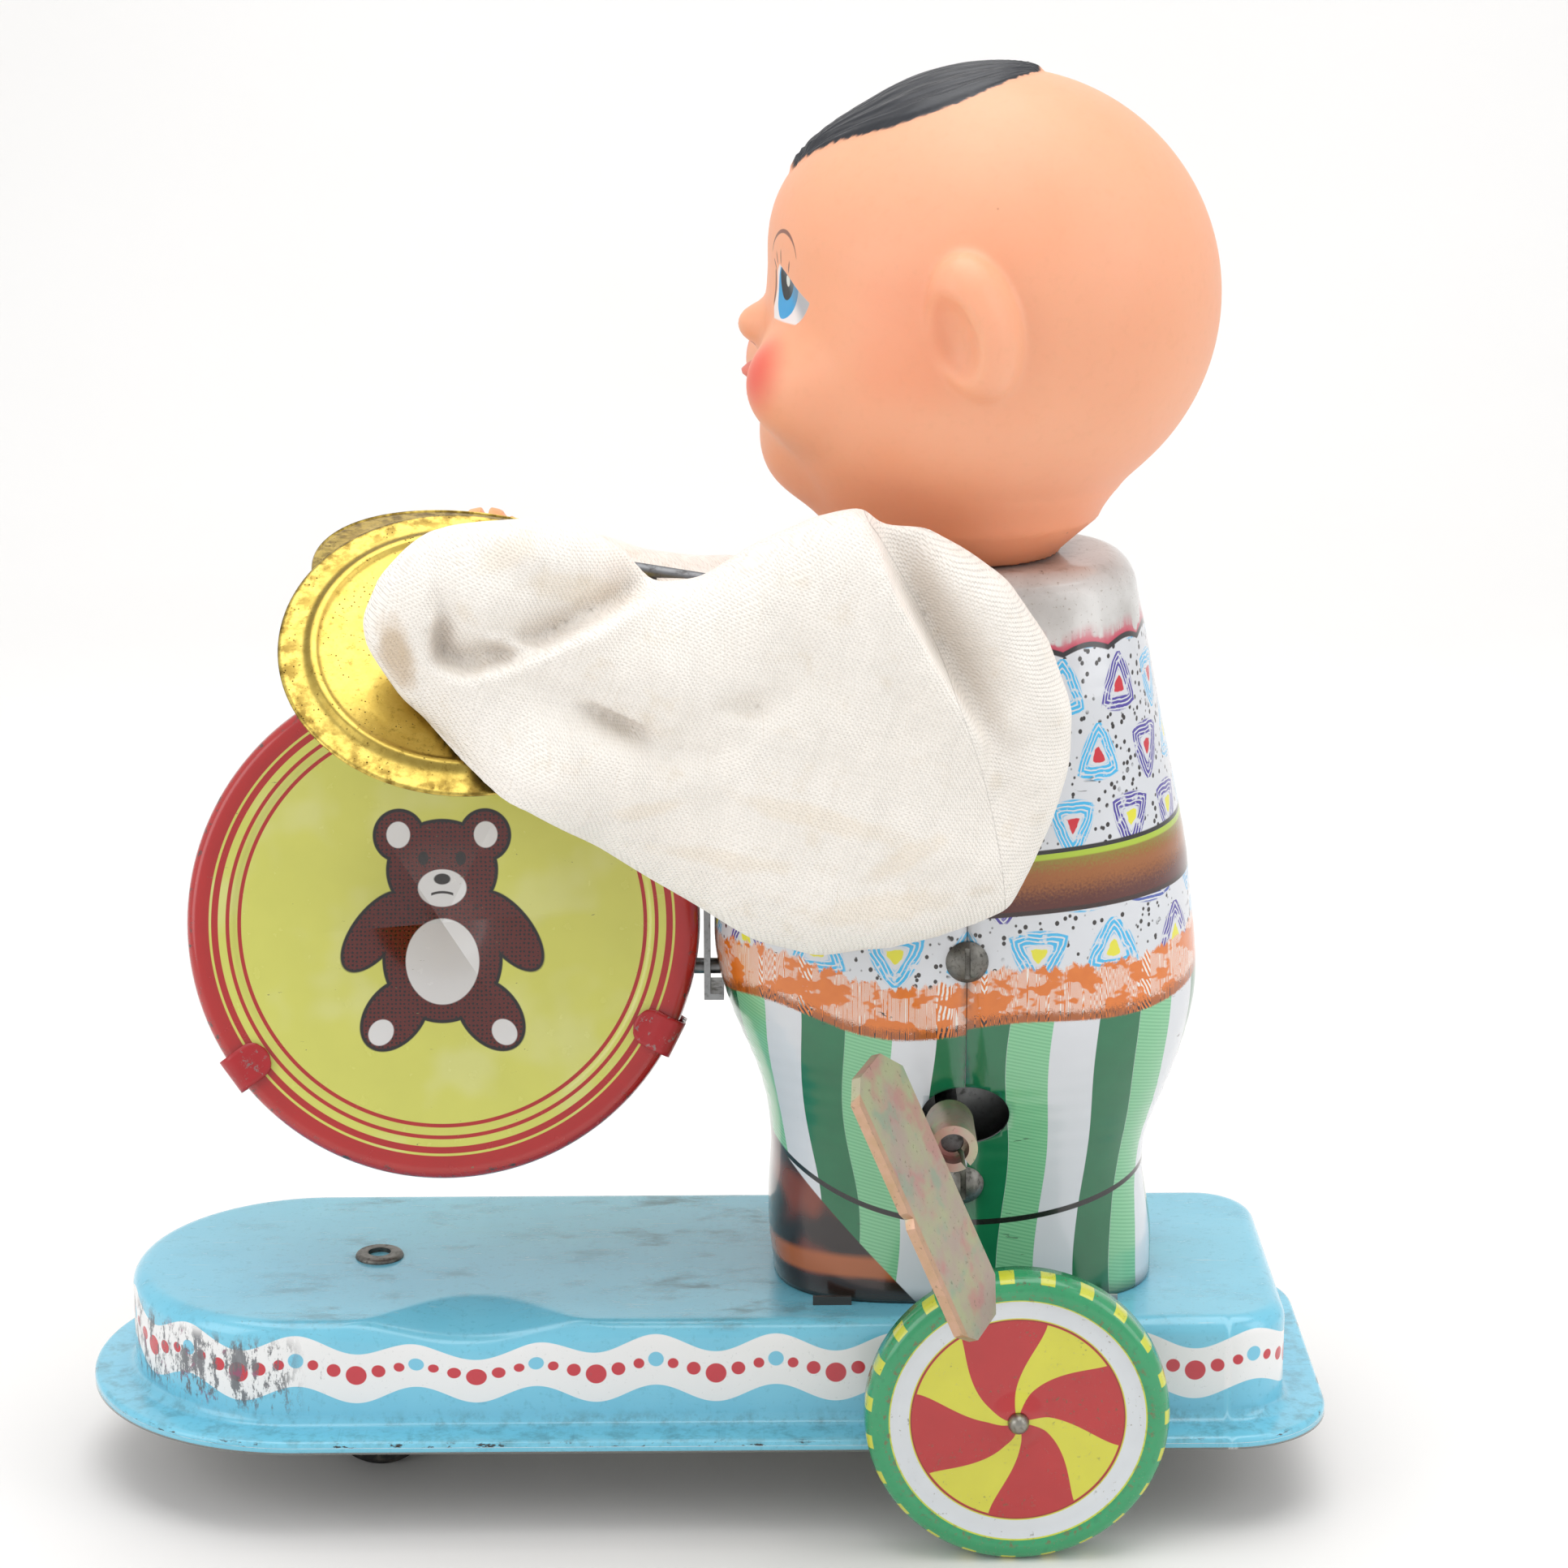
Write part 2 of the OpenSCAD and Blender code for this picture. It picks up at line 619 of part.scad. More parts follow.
module winding_arbor() {
  color(steel_c) {
    along_y(key_x, key_z, -body_half - 8, plate_y + 0.6, 1.6);
    along_y(key_x, key_z, 0.2, 8.3, 3.4);
    along_y(key_x, key_z, -10.2, -9.5, 2.6);
  }
}

module winding_key() {
  t = 1.4;
  y1 = -body_half - 0.6;
  y2 = -body_half - 11.5;
  y3 = -wheel_out - 15;
  d = 14;
  h = key_l / 2;
  tilt = 23;
  color([0.66, 0.68, 0.62]) difference() {
    union() {
      along_y(key_x, key_z, y2, y1, 3.4);
      at_y(key_x, key_z, y3) rotate(tilt) translate([-8.4, 0, 0]) rotate([0, 64, 0])
        linear_extrude(t) polygon([[0, 2.6 - h], [0, -1.2], [0.7, 0], [0, 1.2], [0, h - 2.6],
          [3, h], [d - 4, h], [d, h - 4], [d, 4 - h], [d - 4, -h], [3, -h]]);
      at_y(key_x, key_z, y3 + 12.5) rotate(tilt) translate([-5.2, -3.4, y3 + 12.5 - y2 - 5])
        cube([2.6, 6.8, y2 + 5 - y3 - 12.5]);
    }
    along_y(key_x, key_z, y2 + 2, y1 + 5, 1.6);
    along_y(key_x, key_z, y2 - 1, y2 + 3, 2.2);
    at_y(key_x, key_z, y2 + 20) rotate(tilt - 75) translate([1, -0.35, 0]) cube([4, 0.7, 40]);
  }
}

module ratchet_wheel() {
  n = 12;
  color(steel_c) at_y(key_x, key_z, -5.9) linear_extrude(1.2) difference() {
    union() {
      circle(r = 4.6);
      for (i = [0:n - 1]) rotate(i * 360 / n) polygon([[4.3, -0.2], [5.8, 0.1], [4.3, 2.0]]);
    }
    circle(r = 1.6);
  }
}

module great_wheel() {
  color(brass_c) difference() {
    gear_at(key_x, key_z, great_t, off_a, -9.0, 1.2, 1.6 + run);
    for (i = [0:4]) at_y(key_x, key_z, 0) rotate(off_a + 30 + i * 72) translate([10.8, 0, 0])
      cylinder(r = 3.2, h = 20);
    click_place() cylinder(r = 0.8, h = 30, center = true);
  }
}

module click_place() {
  at_y(key_x, key_z, 0) rotate(off_a + 30 + 36) translate([9.2, 0, 0]) children();
}

module click() {
  color(steel_c) {
    click_place() translate([0, 0, 6.1]) cylinder(r = 1.8, h = 1.5);
    click_place() translate([0, 0, 5.2]) cylinder(r = 0.8, h = 4.4);
    click_place() translate([-2.9, 1.2, 6.3]) rotate(-25) cube([3.4, 1.1, 1.1]);
  }
}

module second_arbor() {
  color(steel_c) {
    along_y(sec_x, sec_z, -plate_y - 0.8, plate_y + 3.4, 1.2);
    gear_at(sec_x, sec_z, pin_t, off_bp, -9.6, 2.6, 1.0);
  }
}

module second_wheel() {
  color(brass_c) difference() {
    gear_at(sec_x, sec_z, second_t, off_bw, -4.5, 1.2, 1.2);
    for (i = [0:3]) at_y(sec_x, sec_z, 0) rotate(45 + i * 90) translate([6.6, 0, 0])
      cylinder(r = 2.6, h = 20);
  }
}

module governor_arbor() {
  color(steel_c) {
    along_y(gov_x, gov_z, -plate_y - 0.5, plate_y + 0.5, 0.8);
    gear_at(gov_x, gov_z, gov_t, off_c, -5.2, 2.8, 0.6);
  }
}

module governor_disc() {
  color(brass_c) at_y(gov_x, gov_z, 3.4) linear_extrude(1.4) difference() {
    circle(r = 5.2);
    circle(r = 0.8);
    for (i = [0:2]) rotate(i * 120) translate([3.1, 0]) circle(r = 1.1);
  }
}

module arm_cam() {
  color(steel_c) at_y(sec_x, sec_z, plate_y + 2.9) linear_extrude(1.2) difference() {
    translate([-1.4, 0]) circle(r = 4);
    circle(r = 1.2);
  }
}

// ---- arm drive ----
module lever_stud() {
  color(steel_c) {
    along_y(lever_x, lever_z, plate_y - plate_t - 0.5, plate_y, 1.1);
    along_y(lever_x, lever_z, plate_y, plate_y + 1.4, 2.6);
    along_y(lever_x, lever_z, plate_y + 1.3, plate_y + 3.6, 1.5);
    along_y(lever_x, lever_z, plate_y + 3.3, plate_y + 4.0, 2.6);
  }
}

module lever_bar(x0, z0, x1, z1, w) {
  a = atan2(z1 - z0, x1 - x0);
  l = sqrt(pow(x1 - x0, 2) + pow(z1 - z0, 2));
  at_y(x0, z0, plate_y + 2.9) rotate(a) translate([0, -w / 2, 0]) cube([l, w, 1.2]);
  along_y(x1, z1, plate_y + 1.7, plate_y + 2.9, w / 2);
}

module rocker_lever() {
  xe = sec_x + 4 + 1.4 + 0.5 + 2;
  ztop = arm_z;
  ztab = lever_z + 12;
  color(tin_c) difference() {
    union() {
      along_y(lever_x, lever_z, plate_y + 1.7, plate_y + 2.9, 4);
      lever_bar(lever_x, lever_z, xe, sec_z + 6, 4);
      lever_bar(xe, sec_z + 6, xe, sec_z - 1, 4);
      lever_bar(lever_x, lever_z, arm_x, ztab, 4);
      slab(arm_x - 2, arm_x + 2, plate_y + 1.7, plate_y + 2.9, ztab - 2, ztab + 1.2);
      slab(arm_x - 2, arm_x + 2, -1.8, plate_y + 2.9, ztab, ztab + 1.2);
      slab(arm_x - 0.6, arm_x + 0.6, -1.8, 1.8, ztab, ztop);
      slab(arm_x - 1.1, arm_x + 1.1, -(arm_y - crank_l) - 1.6, arm_y - crank_l + 1.6, ztop - 1.2, ztop + 0.2);
      for (s = [-1, 1]) {
        translate([arm_x, s * (arm_y - crank_l), ztop - 5]) cylinder(r = 0.75, h = 4.5);
      }
    }
    along_y(lever_x, lever_z, plate_y, plate_y + 5, 1.5 + run);
  }
}

module shoulder_bridge() {
  color(tin_c) difference() {
    union() {
      slab(arm_x - 5, 49, -18.5, 18.5, bridge_z, bridge_z + 1);
      for (s = [-1, 1]) {
        slab(43.4, 49, min(s * plate_y, s * (plate_y + 1)), max(s * plate_y, s * (plate_y + 1)),
          deck_top + 48, bridge_z + 0.5);
      }
    }
    slab(arm_x - 6, arm_x + 4, -4.5, 4.5, bridge_z - 1, bridge_z + 2);
    for (s = [-1, 1]) translate([arm_x, s * arm_y, bridge_z - 1]) cylinder(r = 1.2, h = 5);
  }
}

module shoulder_pins() {
  color(steel_c) for (s = [-1, 1]) translate([arm_x, s * arm_y, 0]) {
    translate([0, 0, bridge_z - 0.8]) cylinder(r = 2, h = 0.8);
    translate([0, 0, bridge_z - 0.5]) cylinder(r = 1.2, h = 12.2);
    translate([0, 0, bridge_z + 10.6]) cylinder(r = 2.1, h = 0.9);
  }
}

// ---- arms, hands and cymbals; the left one is drawn and the right one mirrored ----
module cymbal_place() {
  translate([cym[0], -cym[1], cym[2]]) rotate([cymbal_tilt, 5, 0]) children();
}

hand_p = [cym[0] + 0.8, -cym[1] - 6.2 * sin(cymbal_tilt), cym[2] + 6.2 * cos(cymbal_tilt)];

module rod(a, b, r) {
  v = b - a;
  l = norm(v);
  translate(a) rotate([0, acos(v[2] / l), atan2(v[1], v[0])]) cylinder(r = r, h = l, $fn = 24);
}

arm_a = [arm_x, -arm_y, arm_z];
arm_v = (hand_p - arm_a) / norm(hand_p - arm_a);

module arm_solid() {
  color(steel_c) difference() {
    union() {
      translate([arm_x, -arm_y, bridge_z + 1.3]) cylinder(r = 2.8, h = 9);
      slab(arm_x - 2.4, arm_x + 2.4, -arm_y + 1.5, -arm_y + crank_l + 2.6, arm_z - 4.6, arm_z - 3.4);
      rod(arm_a + 2 * arm_v, hand_p, 1.2);
    }
    translate([arm_x, -arm_y, bridge_z - 1]) cylinder(r = 1.2 + run, h = 20);
    slab(arm_x - 1.15, arm_x + 1.15, -arm_y + crank_l - 1.6, -arm_y + crank_l + 1.6,
      arm_z - 6, arm_z - 1);
  }
}

module left_arm() { arm_solid(); }
module right_arm() { mirror([0, 1, 0]) arm_solid(); }

module hand_solid() {
  color(peach_c) difference() {
    union() {
      translate(hand_p) sphere(r = 5.6);
      cymbal_place() translate([0, 0, 1.0]) cylinder(r1 = 4.2, r2 = 5.4, h = 4);
      translate([hand_p[0] - 3.4, hand_p[1], hand_p[2] + 1.6]) sphere(r = 3.4);
      rod(hand_p, hand_p - 15 * arm_v, 4.2);
    }
    rod(hand_p, hand_p - 30 * arm_v, 1.2);
    cymbal_place() cylinder(r = 1.3, h = 4.6);
    cymbal_place() translate([0, 0, -20]) cylinder(r = 20, h = 20.95);
  }
}

module left_hand() { hand_solid(); }
module right_hand() { mirror([0, 1, 0]) hand_solid(); }

module cymbal_solid() {
  r = cymbal_r;
  t = 0.4;
  color(brass_c) cymbal_place() rotate_extrude($fn = 96)
    polygon([[1.3, 0.5], [4.6, 0.5], [6, 0], [r * 0.70, -0.5], [r * 0.76, 0.15], [r * 0.82, 0.2],
      [r * 0.87, -0.5], [r - 0.2, -0.9], [r, -0.6], [r - 0.3, -0.45], [r * 0.87, -0.05],
      [r * 0.82, 0.65], [r * 0.76, 0.6], [r * 0.70, -0.05], [6.2, 0.45], [4.8, 0.9], [1.3, 0.9]]);
}

module left_cymbal() { cymbal_solid(); }
module right_cymbal() { mirror([0, 1, 0]) cymbal_solid(); }

module rivet_solid() {
  color(steel_c) cymbal_place() {
    translate([0, 0, -0.4]) cylinder(r = 2.2, h = 0.9);
    translate([0, 0, -0.3]) cylinder(r = 1.2, h = 4.6);
  }
}

module left_cymbal_rivet() { rivet_solid(); }
module right_cymbal_rivet() { mirror([0, 1, 0]) rivet_solid(); }

// ---- cloth sleeves, drawn as plain soft bodies hung on the arms ----
module sleeve_solid(s) {
  k = deck_top - 30.3;
  low = s < 0 ? 1 : 0;
  color(cloth_c) scale([1, s, 1]) difference() {
    translate([0, 0, k]) union() {
      hull() {
        translate([32, -36.5, 134 - 6 * low]) sphere(r = 7.8, $fn = 28);
        translate([34, -36.5, 104]) sphere(r = 7.6, $fn = 28);
        translate([16, -36.5, 98]) sphere(r = 7.6, $fn = 28);
        translate([20, -35.5, 140 - 13 * low]) sphere(r = 7.8, $fn = 28);
        translate([2, -34, 128 - 10 * low]) sphere(r = 9, $fn = 28);
      }
      hull() {
        translate([2, -34, 128 - 10 * low]) sphere(r = 9, $fn = 28);
        translate([4, -34.5, 112 - 3 * low]) sphere(r = 8.5, $fn = 28);
        translate([-21, -31.5, 132 - 6 * low]) sphere(r = 8, $fn = 28);
        translate([-14, -31.5, 137 - 12 * low]) sphere(r = 8, $fn = 28);
      }
    }
    rod(arm_a - 10 * arm_v, hand_p, 1.5);
    rod(hand_p, hand_p - 15.2 * arm_v, 4.5);
    translate(hand_p) sphere(r = 5.9);
    translate([hand_p[0] - 3.4, hand_p[1], hand_p[2] + 1.6]) sphere(r = 3.7);
    cymbal_place() translate([0, 0, 0.8]) cylinder(r1 = 4.5, r2 = 5.8, h = 4.4);
    cymbal_place() translate([0, 0, -12]) cylinder(r = cymbal_r + 0.4, h = 13.4);
  }
}

module left_sleeve() { sleeve_solid(1); }
module right_sleeve() { sleeve_solid(-1); }

platform_pan();
caster_rivet();
caster_bracket();
roller_pin();
front_roller();
rear_axle();
axle_gear();
left_wheel_outer();
left_wheel_inner();
right_wheel_outer();
right_wheel_inner();
torso_front();
torso_rear();
seam_screws();
screw_posts();
collar_spacer();
neck_plug();
head();
drum_face_left();
drum_face_right();
drum_hoop();
drum_bracket();
motor_plate_left();
motor_plate_right();
motor_pillars();
mainspring();
winding_arbor();
winding_key();
ratchet_wheel();
great_wheel();
click();
second_arbor();
second_wheel();
governor_arbor();
governor_disc();
arm_cam();
rocker_lever();
lever_stud();
shoulder_bridge();
shoulder_pins();
left_arm();
right_arm();
left_hand();
right_hand();
left_cymbal();
right_cymbal();
left_cymbal_rivet();
right_cymbal_rivet();
left_sleeve();
right_sleeve();
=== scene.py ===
import math

import bmesh
import bpy
import numpy as np
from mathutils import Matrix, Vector
from mathutils.bvhtree import BVHTree
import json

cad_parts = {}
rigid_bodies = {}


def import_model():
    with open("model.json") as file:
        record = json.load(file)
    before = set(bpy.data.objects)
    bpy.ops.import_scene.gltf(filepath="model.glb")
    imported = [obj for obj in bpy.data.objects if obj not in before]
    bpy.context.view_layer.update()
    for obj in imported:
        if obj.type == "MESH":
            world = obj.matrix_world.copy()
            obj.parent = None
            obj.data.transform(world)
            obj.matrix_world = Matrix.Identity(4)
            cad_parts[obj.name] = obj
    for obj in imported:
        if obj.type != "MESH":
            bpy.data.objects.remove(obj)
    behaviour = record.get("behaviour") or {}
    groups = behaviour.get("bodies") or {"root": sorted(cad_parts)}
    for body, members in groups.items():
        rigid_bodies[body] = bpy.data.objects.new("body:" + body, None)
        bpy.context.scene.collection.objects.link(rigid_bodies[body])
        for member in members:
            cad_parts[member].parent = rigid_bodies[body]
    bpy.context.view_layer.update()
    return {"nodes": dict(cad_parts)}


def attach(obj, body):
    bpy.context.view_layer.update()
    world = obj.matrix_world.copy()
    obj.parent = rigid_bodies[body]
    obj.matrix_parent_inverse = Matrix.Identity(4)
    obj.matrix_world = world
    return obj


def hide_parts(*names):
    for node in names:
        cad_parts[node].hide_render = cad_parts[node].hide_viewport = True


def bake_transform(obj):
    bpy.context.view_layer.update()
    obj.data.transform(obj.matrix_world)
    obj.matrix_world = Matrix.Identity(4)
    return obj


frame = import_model()
NODES = frame["nodes"]

# ---- camera, floor and light: a pale seamless sweep under large soft boxes ----
# The camera stands 0.6 m off to the toy's left and looks down at 15 degrees.
cam = bpy.data.objects.new("camera", bpy.data.cameras.new("camera"))
bpy.context.scene.collection.objects.link(cam)
cam.location = (0.0094, -0.5567, 0.2509)
cam.rotation_euler = (math.radians(90 - 14.88), math.radians(0.14), math.radians(-0.53))
cam.data.sensor_width = 36
cam.data.lens = 4900 / 1932 * 36
cam.data.clip_start = 0.01
bpy.context.scene.camera = cam
bpy.context.scene.view_settings.view_transform = "Standard"
bpy.context.scene.view_settings.look = "None"


def col(h):
    v = [int(h[i : i + 2], 16) / 255 for i in (0, 2, 4)]
    return [x / 12.92 if x <= 0.04045 else ((x + 0.055) / 1.055) ** 2.4 for x in v] + [1]


class Mat:
    """A node material built by short calls; lengths are millimetres."""

    def __init__(self, name, **k):
        self.m = bpy.data.materials.new(name)
        self.m.use_nodes = True
        self.nt = self.m.node_tree
        self.nt.nodes.clear()
        out = self.add("ShaderNodeOutputMaterial")
        self.b = self.add("ShaderNodeBsdfPrincipled")
        self.nt.links.new(self.b.outputs[0], out.inputs[0])
        self.set(**k)

    def add(self, kind, **props):
        n = self.nt.nodes.new(kind)
        for key, v in props.items():
            setattr(n, key, v)
        return n

    def put(self, sock, v):
        if isinstance(v, bpy.types.NodeSocket):
            self.nt.links.new(v, sock)
        elif isinstance(v, str):
            sock.default_value = col(v)
        else:
            sock.default_value = v

    def set(self, **k):
        for key, v in k.items():
            self.put(self.b.inputs[key.replace("_", " ")], v)
        return self

    def math(self, op, a, b=0.0, c=0.0):
        n = self.add("ShaderNodeMath", operation=op)
        for s, v in zip(n.inputs, (a, b, c)):
            self.put(s, v)
        return n.outputs[0]

    def sum(self, *a):
        t = a[0]
        for v in a[1:]:
            t = self.math("ADD", t, v)
        return t

    def mul(self, *a):
        t = a[0]
        for v in a[1:]:
            t = self.math("MULTIPLY", t, v)
        return t

    def sub(self, a, b):
        return self.math("SUBTRACT", a, b)

    def most(self, *a):
        t = a[0]
        for v in a[1:]:
            t = self.math("MAXIMUM", t, v)
        return t

    def inv(self, a):
        return self.math("SUBTRACT", 1.0, a)

    def span(self, v, a, b, c=0.0, d=1.0):
        n = self.add("ShaderNodeMapRange", interpolation_type="SMOOTHSTEP")
        for i, x in enumerate((v, a, b, c, d)):
            self.put(n.inputs[i], x)
        return n.outputs[0]

    def inside(self, d, w=0.06):
        return self.span(d, -w, w, 1.0, 0.0)

    def mix(self, f, a, b):
        n = self.add("ShaderNodeMix", data_type="RGBA")
        self.put(n.inputs[0], f)
        self.put(n.inputs[6], a)
        self.put(n.inputs[7], b)
        return n.outputs[2]

    def co(self, uv=False):
        if uv:
            n = self.add("ShaderNodeUVMap")
            return n.outputs[0]
        n = self.add("ShaderNodeTexCoord")
        v = self.add("ShaderNodeVectorMath", operation="SCALE")
        self.nt.links.new(n.outputs["Object"], v.inputs[0])
        v.inputs[3].default_value = 1000.0
        return v.outputs[0]

    def xyz(self, v):
        n = self.add("ShaderNodeSeparateXYZ")
        self.put(n.inputs[0], v)
        return n.outputs

    def vec(self, x=0.0, y=0.0, z=0.0):
        n = self.add("ShaderNodeCombineXYZ")
        for s, v in zip(n.inputs, (x, y, z)):
            self.put(s, v)
        return n.outputs[0]

    def vmath(self, op, a, b):
        n = self.add("ShaderNodeVectorMath", operation=op)
        self.put(n.inputs[0], a)
        self.put(n.inputs[1], b)
        return n.outputs[0]

    def noise(self, size, vec=None, detail=3.0, rough=0.55, dist=0.0, color=False):
        n = self.add("ShaderNodeTexNoise")
        self.put(n.inputs["Vector"], vec if vec is not None else self.co())
        self.put(n.inputs["Scale"], 1.0 / size)
        self.put(n.inputs["Detail"], detail)
        self.put(n.inputs["Roughness"], rough)
        self.put(n.inputs["Distortion"], dist)
        return n.outputs[1 if color else 0]

    def cells(self, size, vec=None, feature="F1", rnd=1.0):
        n = self.add("ShaderNodeTexVoronoi", feature=feature)
        self.put(n.inputs["Vector"], vec if vec is not None else self.co())
        self.put(n.inputs["Scale"], 1.0 / size)
        self.put(n.inputs["Randomness"], rnd)
        return n.outputs

    def bump(self, h, dist=0.1, strength=1.0):
        n = self.add("ShaderNodeBump")
        self.put(n.inputs["Height"], h)
        n.inputs["Distance"].default_value = dist * 0.001
        n.inputs["Strength"].default_value = strength
        self.put(self.b.inputs["Normal"], n.outputs[0])
        return self

    def ell(self, x, y, cx, cy, a, b, turn=0.0, w=0.05):
        c, s = math.cos(math.radians(turn)), math.sin(math.radians(turn))
        dx, dy = self.sub(x, cx), self.sub(y, cy)
        p = self.mul(self.sum(self.mul(dx, c), self.mul(dy, s)), 1 / a)
        q = self.mul(self.sub(self.mul(dy, c), self.mul(dx, s)), 1 / b)
        r = self.math("SQRT", self.sum(self.mul(p, p), self.mul(q, q)))
        return self.inside(self.sub(r, 1.0), w / min(a, b))

    def paint(self, base, *layers):
        for m, c in layers:
            base = self.mix(m, base, c)
        return base


def piece(name, verts, faces, mat=None, uv=None, smooth=True):
    """A mesh object from millimetre points; uv is one pair per vertex, in millimetres."""
    me = bpy.data.meshes.new(name)
    me.from_pydata([tuple(float(c) * 0.001 for c in v) for v in verts], [], faces)
    me.update()
    if uv is not None:
        lay = me.uv_layers.new(name="UVMap")
        idx = np.empty(len(me.loops), dtype=np.int32)
        me.loops.foreach_get("vertex_index", idx)
        lay.data.foreach_set("uv", np.asarray(uv, dtype=np.float32)[idx].ravel())
    me.polygons.foreach_set("use_smooth", [smooth] * len(me.polygons))
    o = bpy.data.objects.new(name, me)
    bpy.context.scene.collection.objects.link(o)
    if mat:
        me.materials.append(mat.m)
    return o


def bake(o):
    """Applies an object's modifiers, so that a plain mesh is left."""
    dg = bpy.context.evaluated_depsgraph_get()
    me = bpy.data.meshes.new_from_object(o.evaluated_get(dg))
    o.modifiers.clear()
    o.data = me
    return o


def outward(o):
    bm = bmesh.new()
    bm.from_mesh(o.data)
    bmesh.ops.recalc_face_normals(bm, faces=bm.faces)
    bm.to_mesh(o.data)
    bm.free()
    return o


def grid_faces(rows, cols, wrap=False):
    f = []
    for i in range(rows - 1):
        for j in range(cols if wrap else cols - 1):
            k = (j + 1) % cols
            f.append((i * cols + j, i * cols + k, (i + 1) * cols + k, (i + 1) * cols + j))
    return f


floor_m = Mat("pale_floor", Base_Color="ECEAE8", Roughness=0.62, Specular_IOR_Level=0.25)
floor_m.set(Base_Color=floor_m.mix(floor_m.noise(300.0), "F0EEEC", "E9E7E4"))
prof = [(-0.9, 0)] + [(0.55 + 0.35 * math.sin(a * math.pi / 24),
    0.35 - 0.35 * math.cos(a * math.pi / 24)) for a in range(13)] + [(0.9, 1.4)]
floor = piece("floor", [(x, y * 1000, z * 1000) for y, z in prof for x in (-2200, 2200)],
    grid_faces(len(prof), 2), floor_m)


def softbox(name, loc, aim, size, power, tint=(1, 1, 1)):
    l = bpy.data.lights.new(name, "AREA")
    l.shape = "RECTANGLE"
    l.size, l.size_y = size
    l.energy = power
    l.color = tint
    o = bpy.data.objects.new(name, l)
    o.location = loc
    o.rotation_euler = (Vector(aim) - Vector(loc)).to_track_quat("-Z", "Y").to_euler()
    bpy.context.scene.collection.objects.link(o)
    return o


softbox("top_box", (0.05, 0.05, 0.95), (0, 0, 0.05), (0.9, 0.9), 5.6)
softbox("left_box", (-0.75, -0.45, 0.45), (0, 0, 0.1), (0.5, 0.7), 2.0)
softbox("right_box", (0.8, -0.35, 0.5), (0, 0, 0.1), (0.45, 0.7), 1.7)
world = bpy.data.worlds.new("studio")
bpy.context.scene.world = world
world.use_nodes = True
world.node_tree.nodes["Background"].inputs[0].default_value = (0.95, 0.97, 1.0, 1)
world.node_tree.nodes["Background"].inputs[1].default_value = 0.78

# ---- platform ----
# One pressed pan of printed tin, glossy sky blue, with a wavy printed band round its wall.
# The near edge of the deck is pressed down in a shallow scoop, and the round front end is rubbed to bare
# metal.
# deck top and half width, flange width and height, in mm as the frame has them
DT, DH, FW, FZ = 30.3, 26.9, 6.2, 15.0
pan_path = []
for i in range(200):
    x = 77.6 - (77.6 + 56.1) * i / 200
    pan_path.append(((x, -DH), (0, -1), x))
for i in range(160):
    a = math.pi * (1.5 - i / 160)
    pan_path.append(((-56.1 + DH * math.cos(a), DH * math.sin(a)), (math.cos(a), math.sin(a)),
        -56.1 - DH * math.pi * i / 160))
u0 = -56.1 - DH * math.pi
for i in range(120):
    x = -56.1 + (77.6 + 56.1) * i / 120
    pan_path.append(((x, DH), (0, 1), u0 - (x + 56.1)))
u0 -= 77.6 + 56.1
for i in range(24):
    a = math.pi / 2 * (1 - i / 24)
    pan_path.append(((77.6 + 9 * math.cos(a), DH - 9 + 9 * math.sin(a)), (math.cos(a), math.sin(a)),
        u0 - 9 * math.pi / 2 * i / 24))
for i in range(40):
    y = DH - 9 - (2 * DH - 18) * i / 40
    pan_path.append(((86.6, y), (1, 0), 77.6 + 14.14 + 35.8 * (1 - i / 40)))
for i in range(25):
    a = -math.pi / 2 * i / 24
    pan_path.append(((77.6 + 9 * math.cos(a), -DH + 9 + 9 * math.sin(a)), (math.cos(a), math.sin(a)),
        77.6 + 14.14 * (1 - i / 24)))


def arc_pts(cx, cz, r, a0, a1, n):
    return [(cx + r * math.cos(math.radians(a0 + (a1 - a0) * i / n)),
        cz + r * math.sin(math.radians(a0 + (a1 - a0) * i / n))) for i in range(n + 1)]


pan_prof = arc_pts(-2.6, DT - 2.6, 2.6, 90, 0, 8) + [(0, z) for z in np.linspace(DT - 4, FZ + 3,
    6)] + arc_pts(1.6, FZ + 1.6, 1.6, 180, 270, 6) + arc_pts(FW - 0.8, FZ - 0.8, 0.8, 90, 0,
    5) + [(FW, FZ - 1.8)]
pan_prof += [(FW - 0.5, FZ - 1.8)] + arc_pts(FW - 0.8, FZ - 0.8, 0.3, 0, 90, 3) + arc_pts(1.6, FZ + 1.6,
    2.1, 270, 180, 6) + [(-0.5, DT - 4)] + arc_pts(-2.6, DT - 2.6, 2.1, 0, 90, 5)


def pan_dent(x, y, z):
    if y > 0 or z < FZ + 2:
        return x, y, z
    line = -27.5 + 12.0 * math.exp(-(((x + 31.0) / 13.5) ** 2) ** 1.15)
    t = max(0.0, line - y)
    k = max(0.0, min(1.0, (z - FZ - 2) / (DT - FZ - 2)))
    return x, y + 0.35 * t * 0.22 * k, z - 0.26 * t * k ** 2


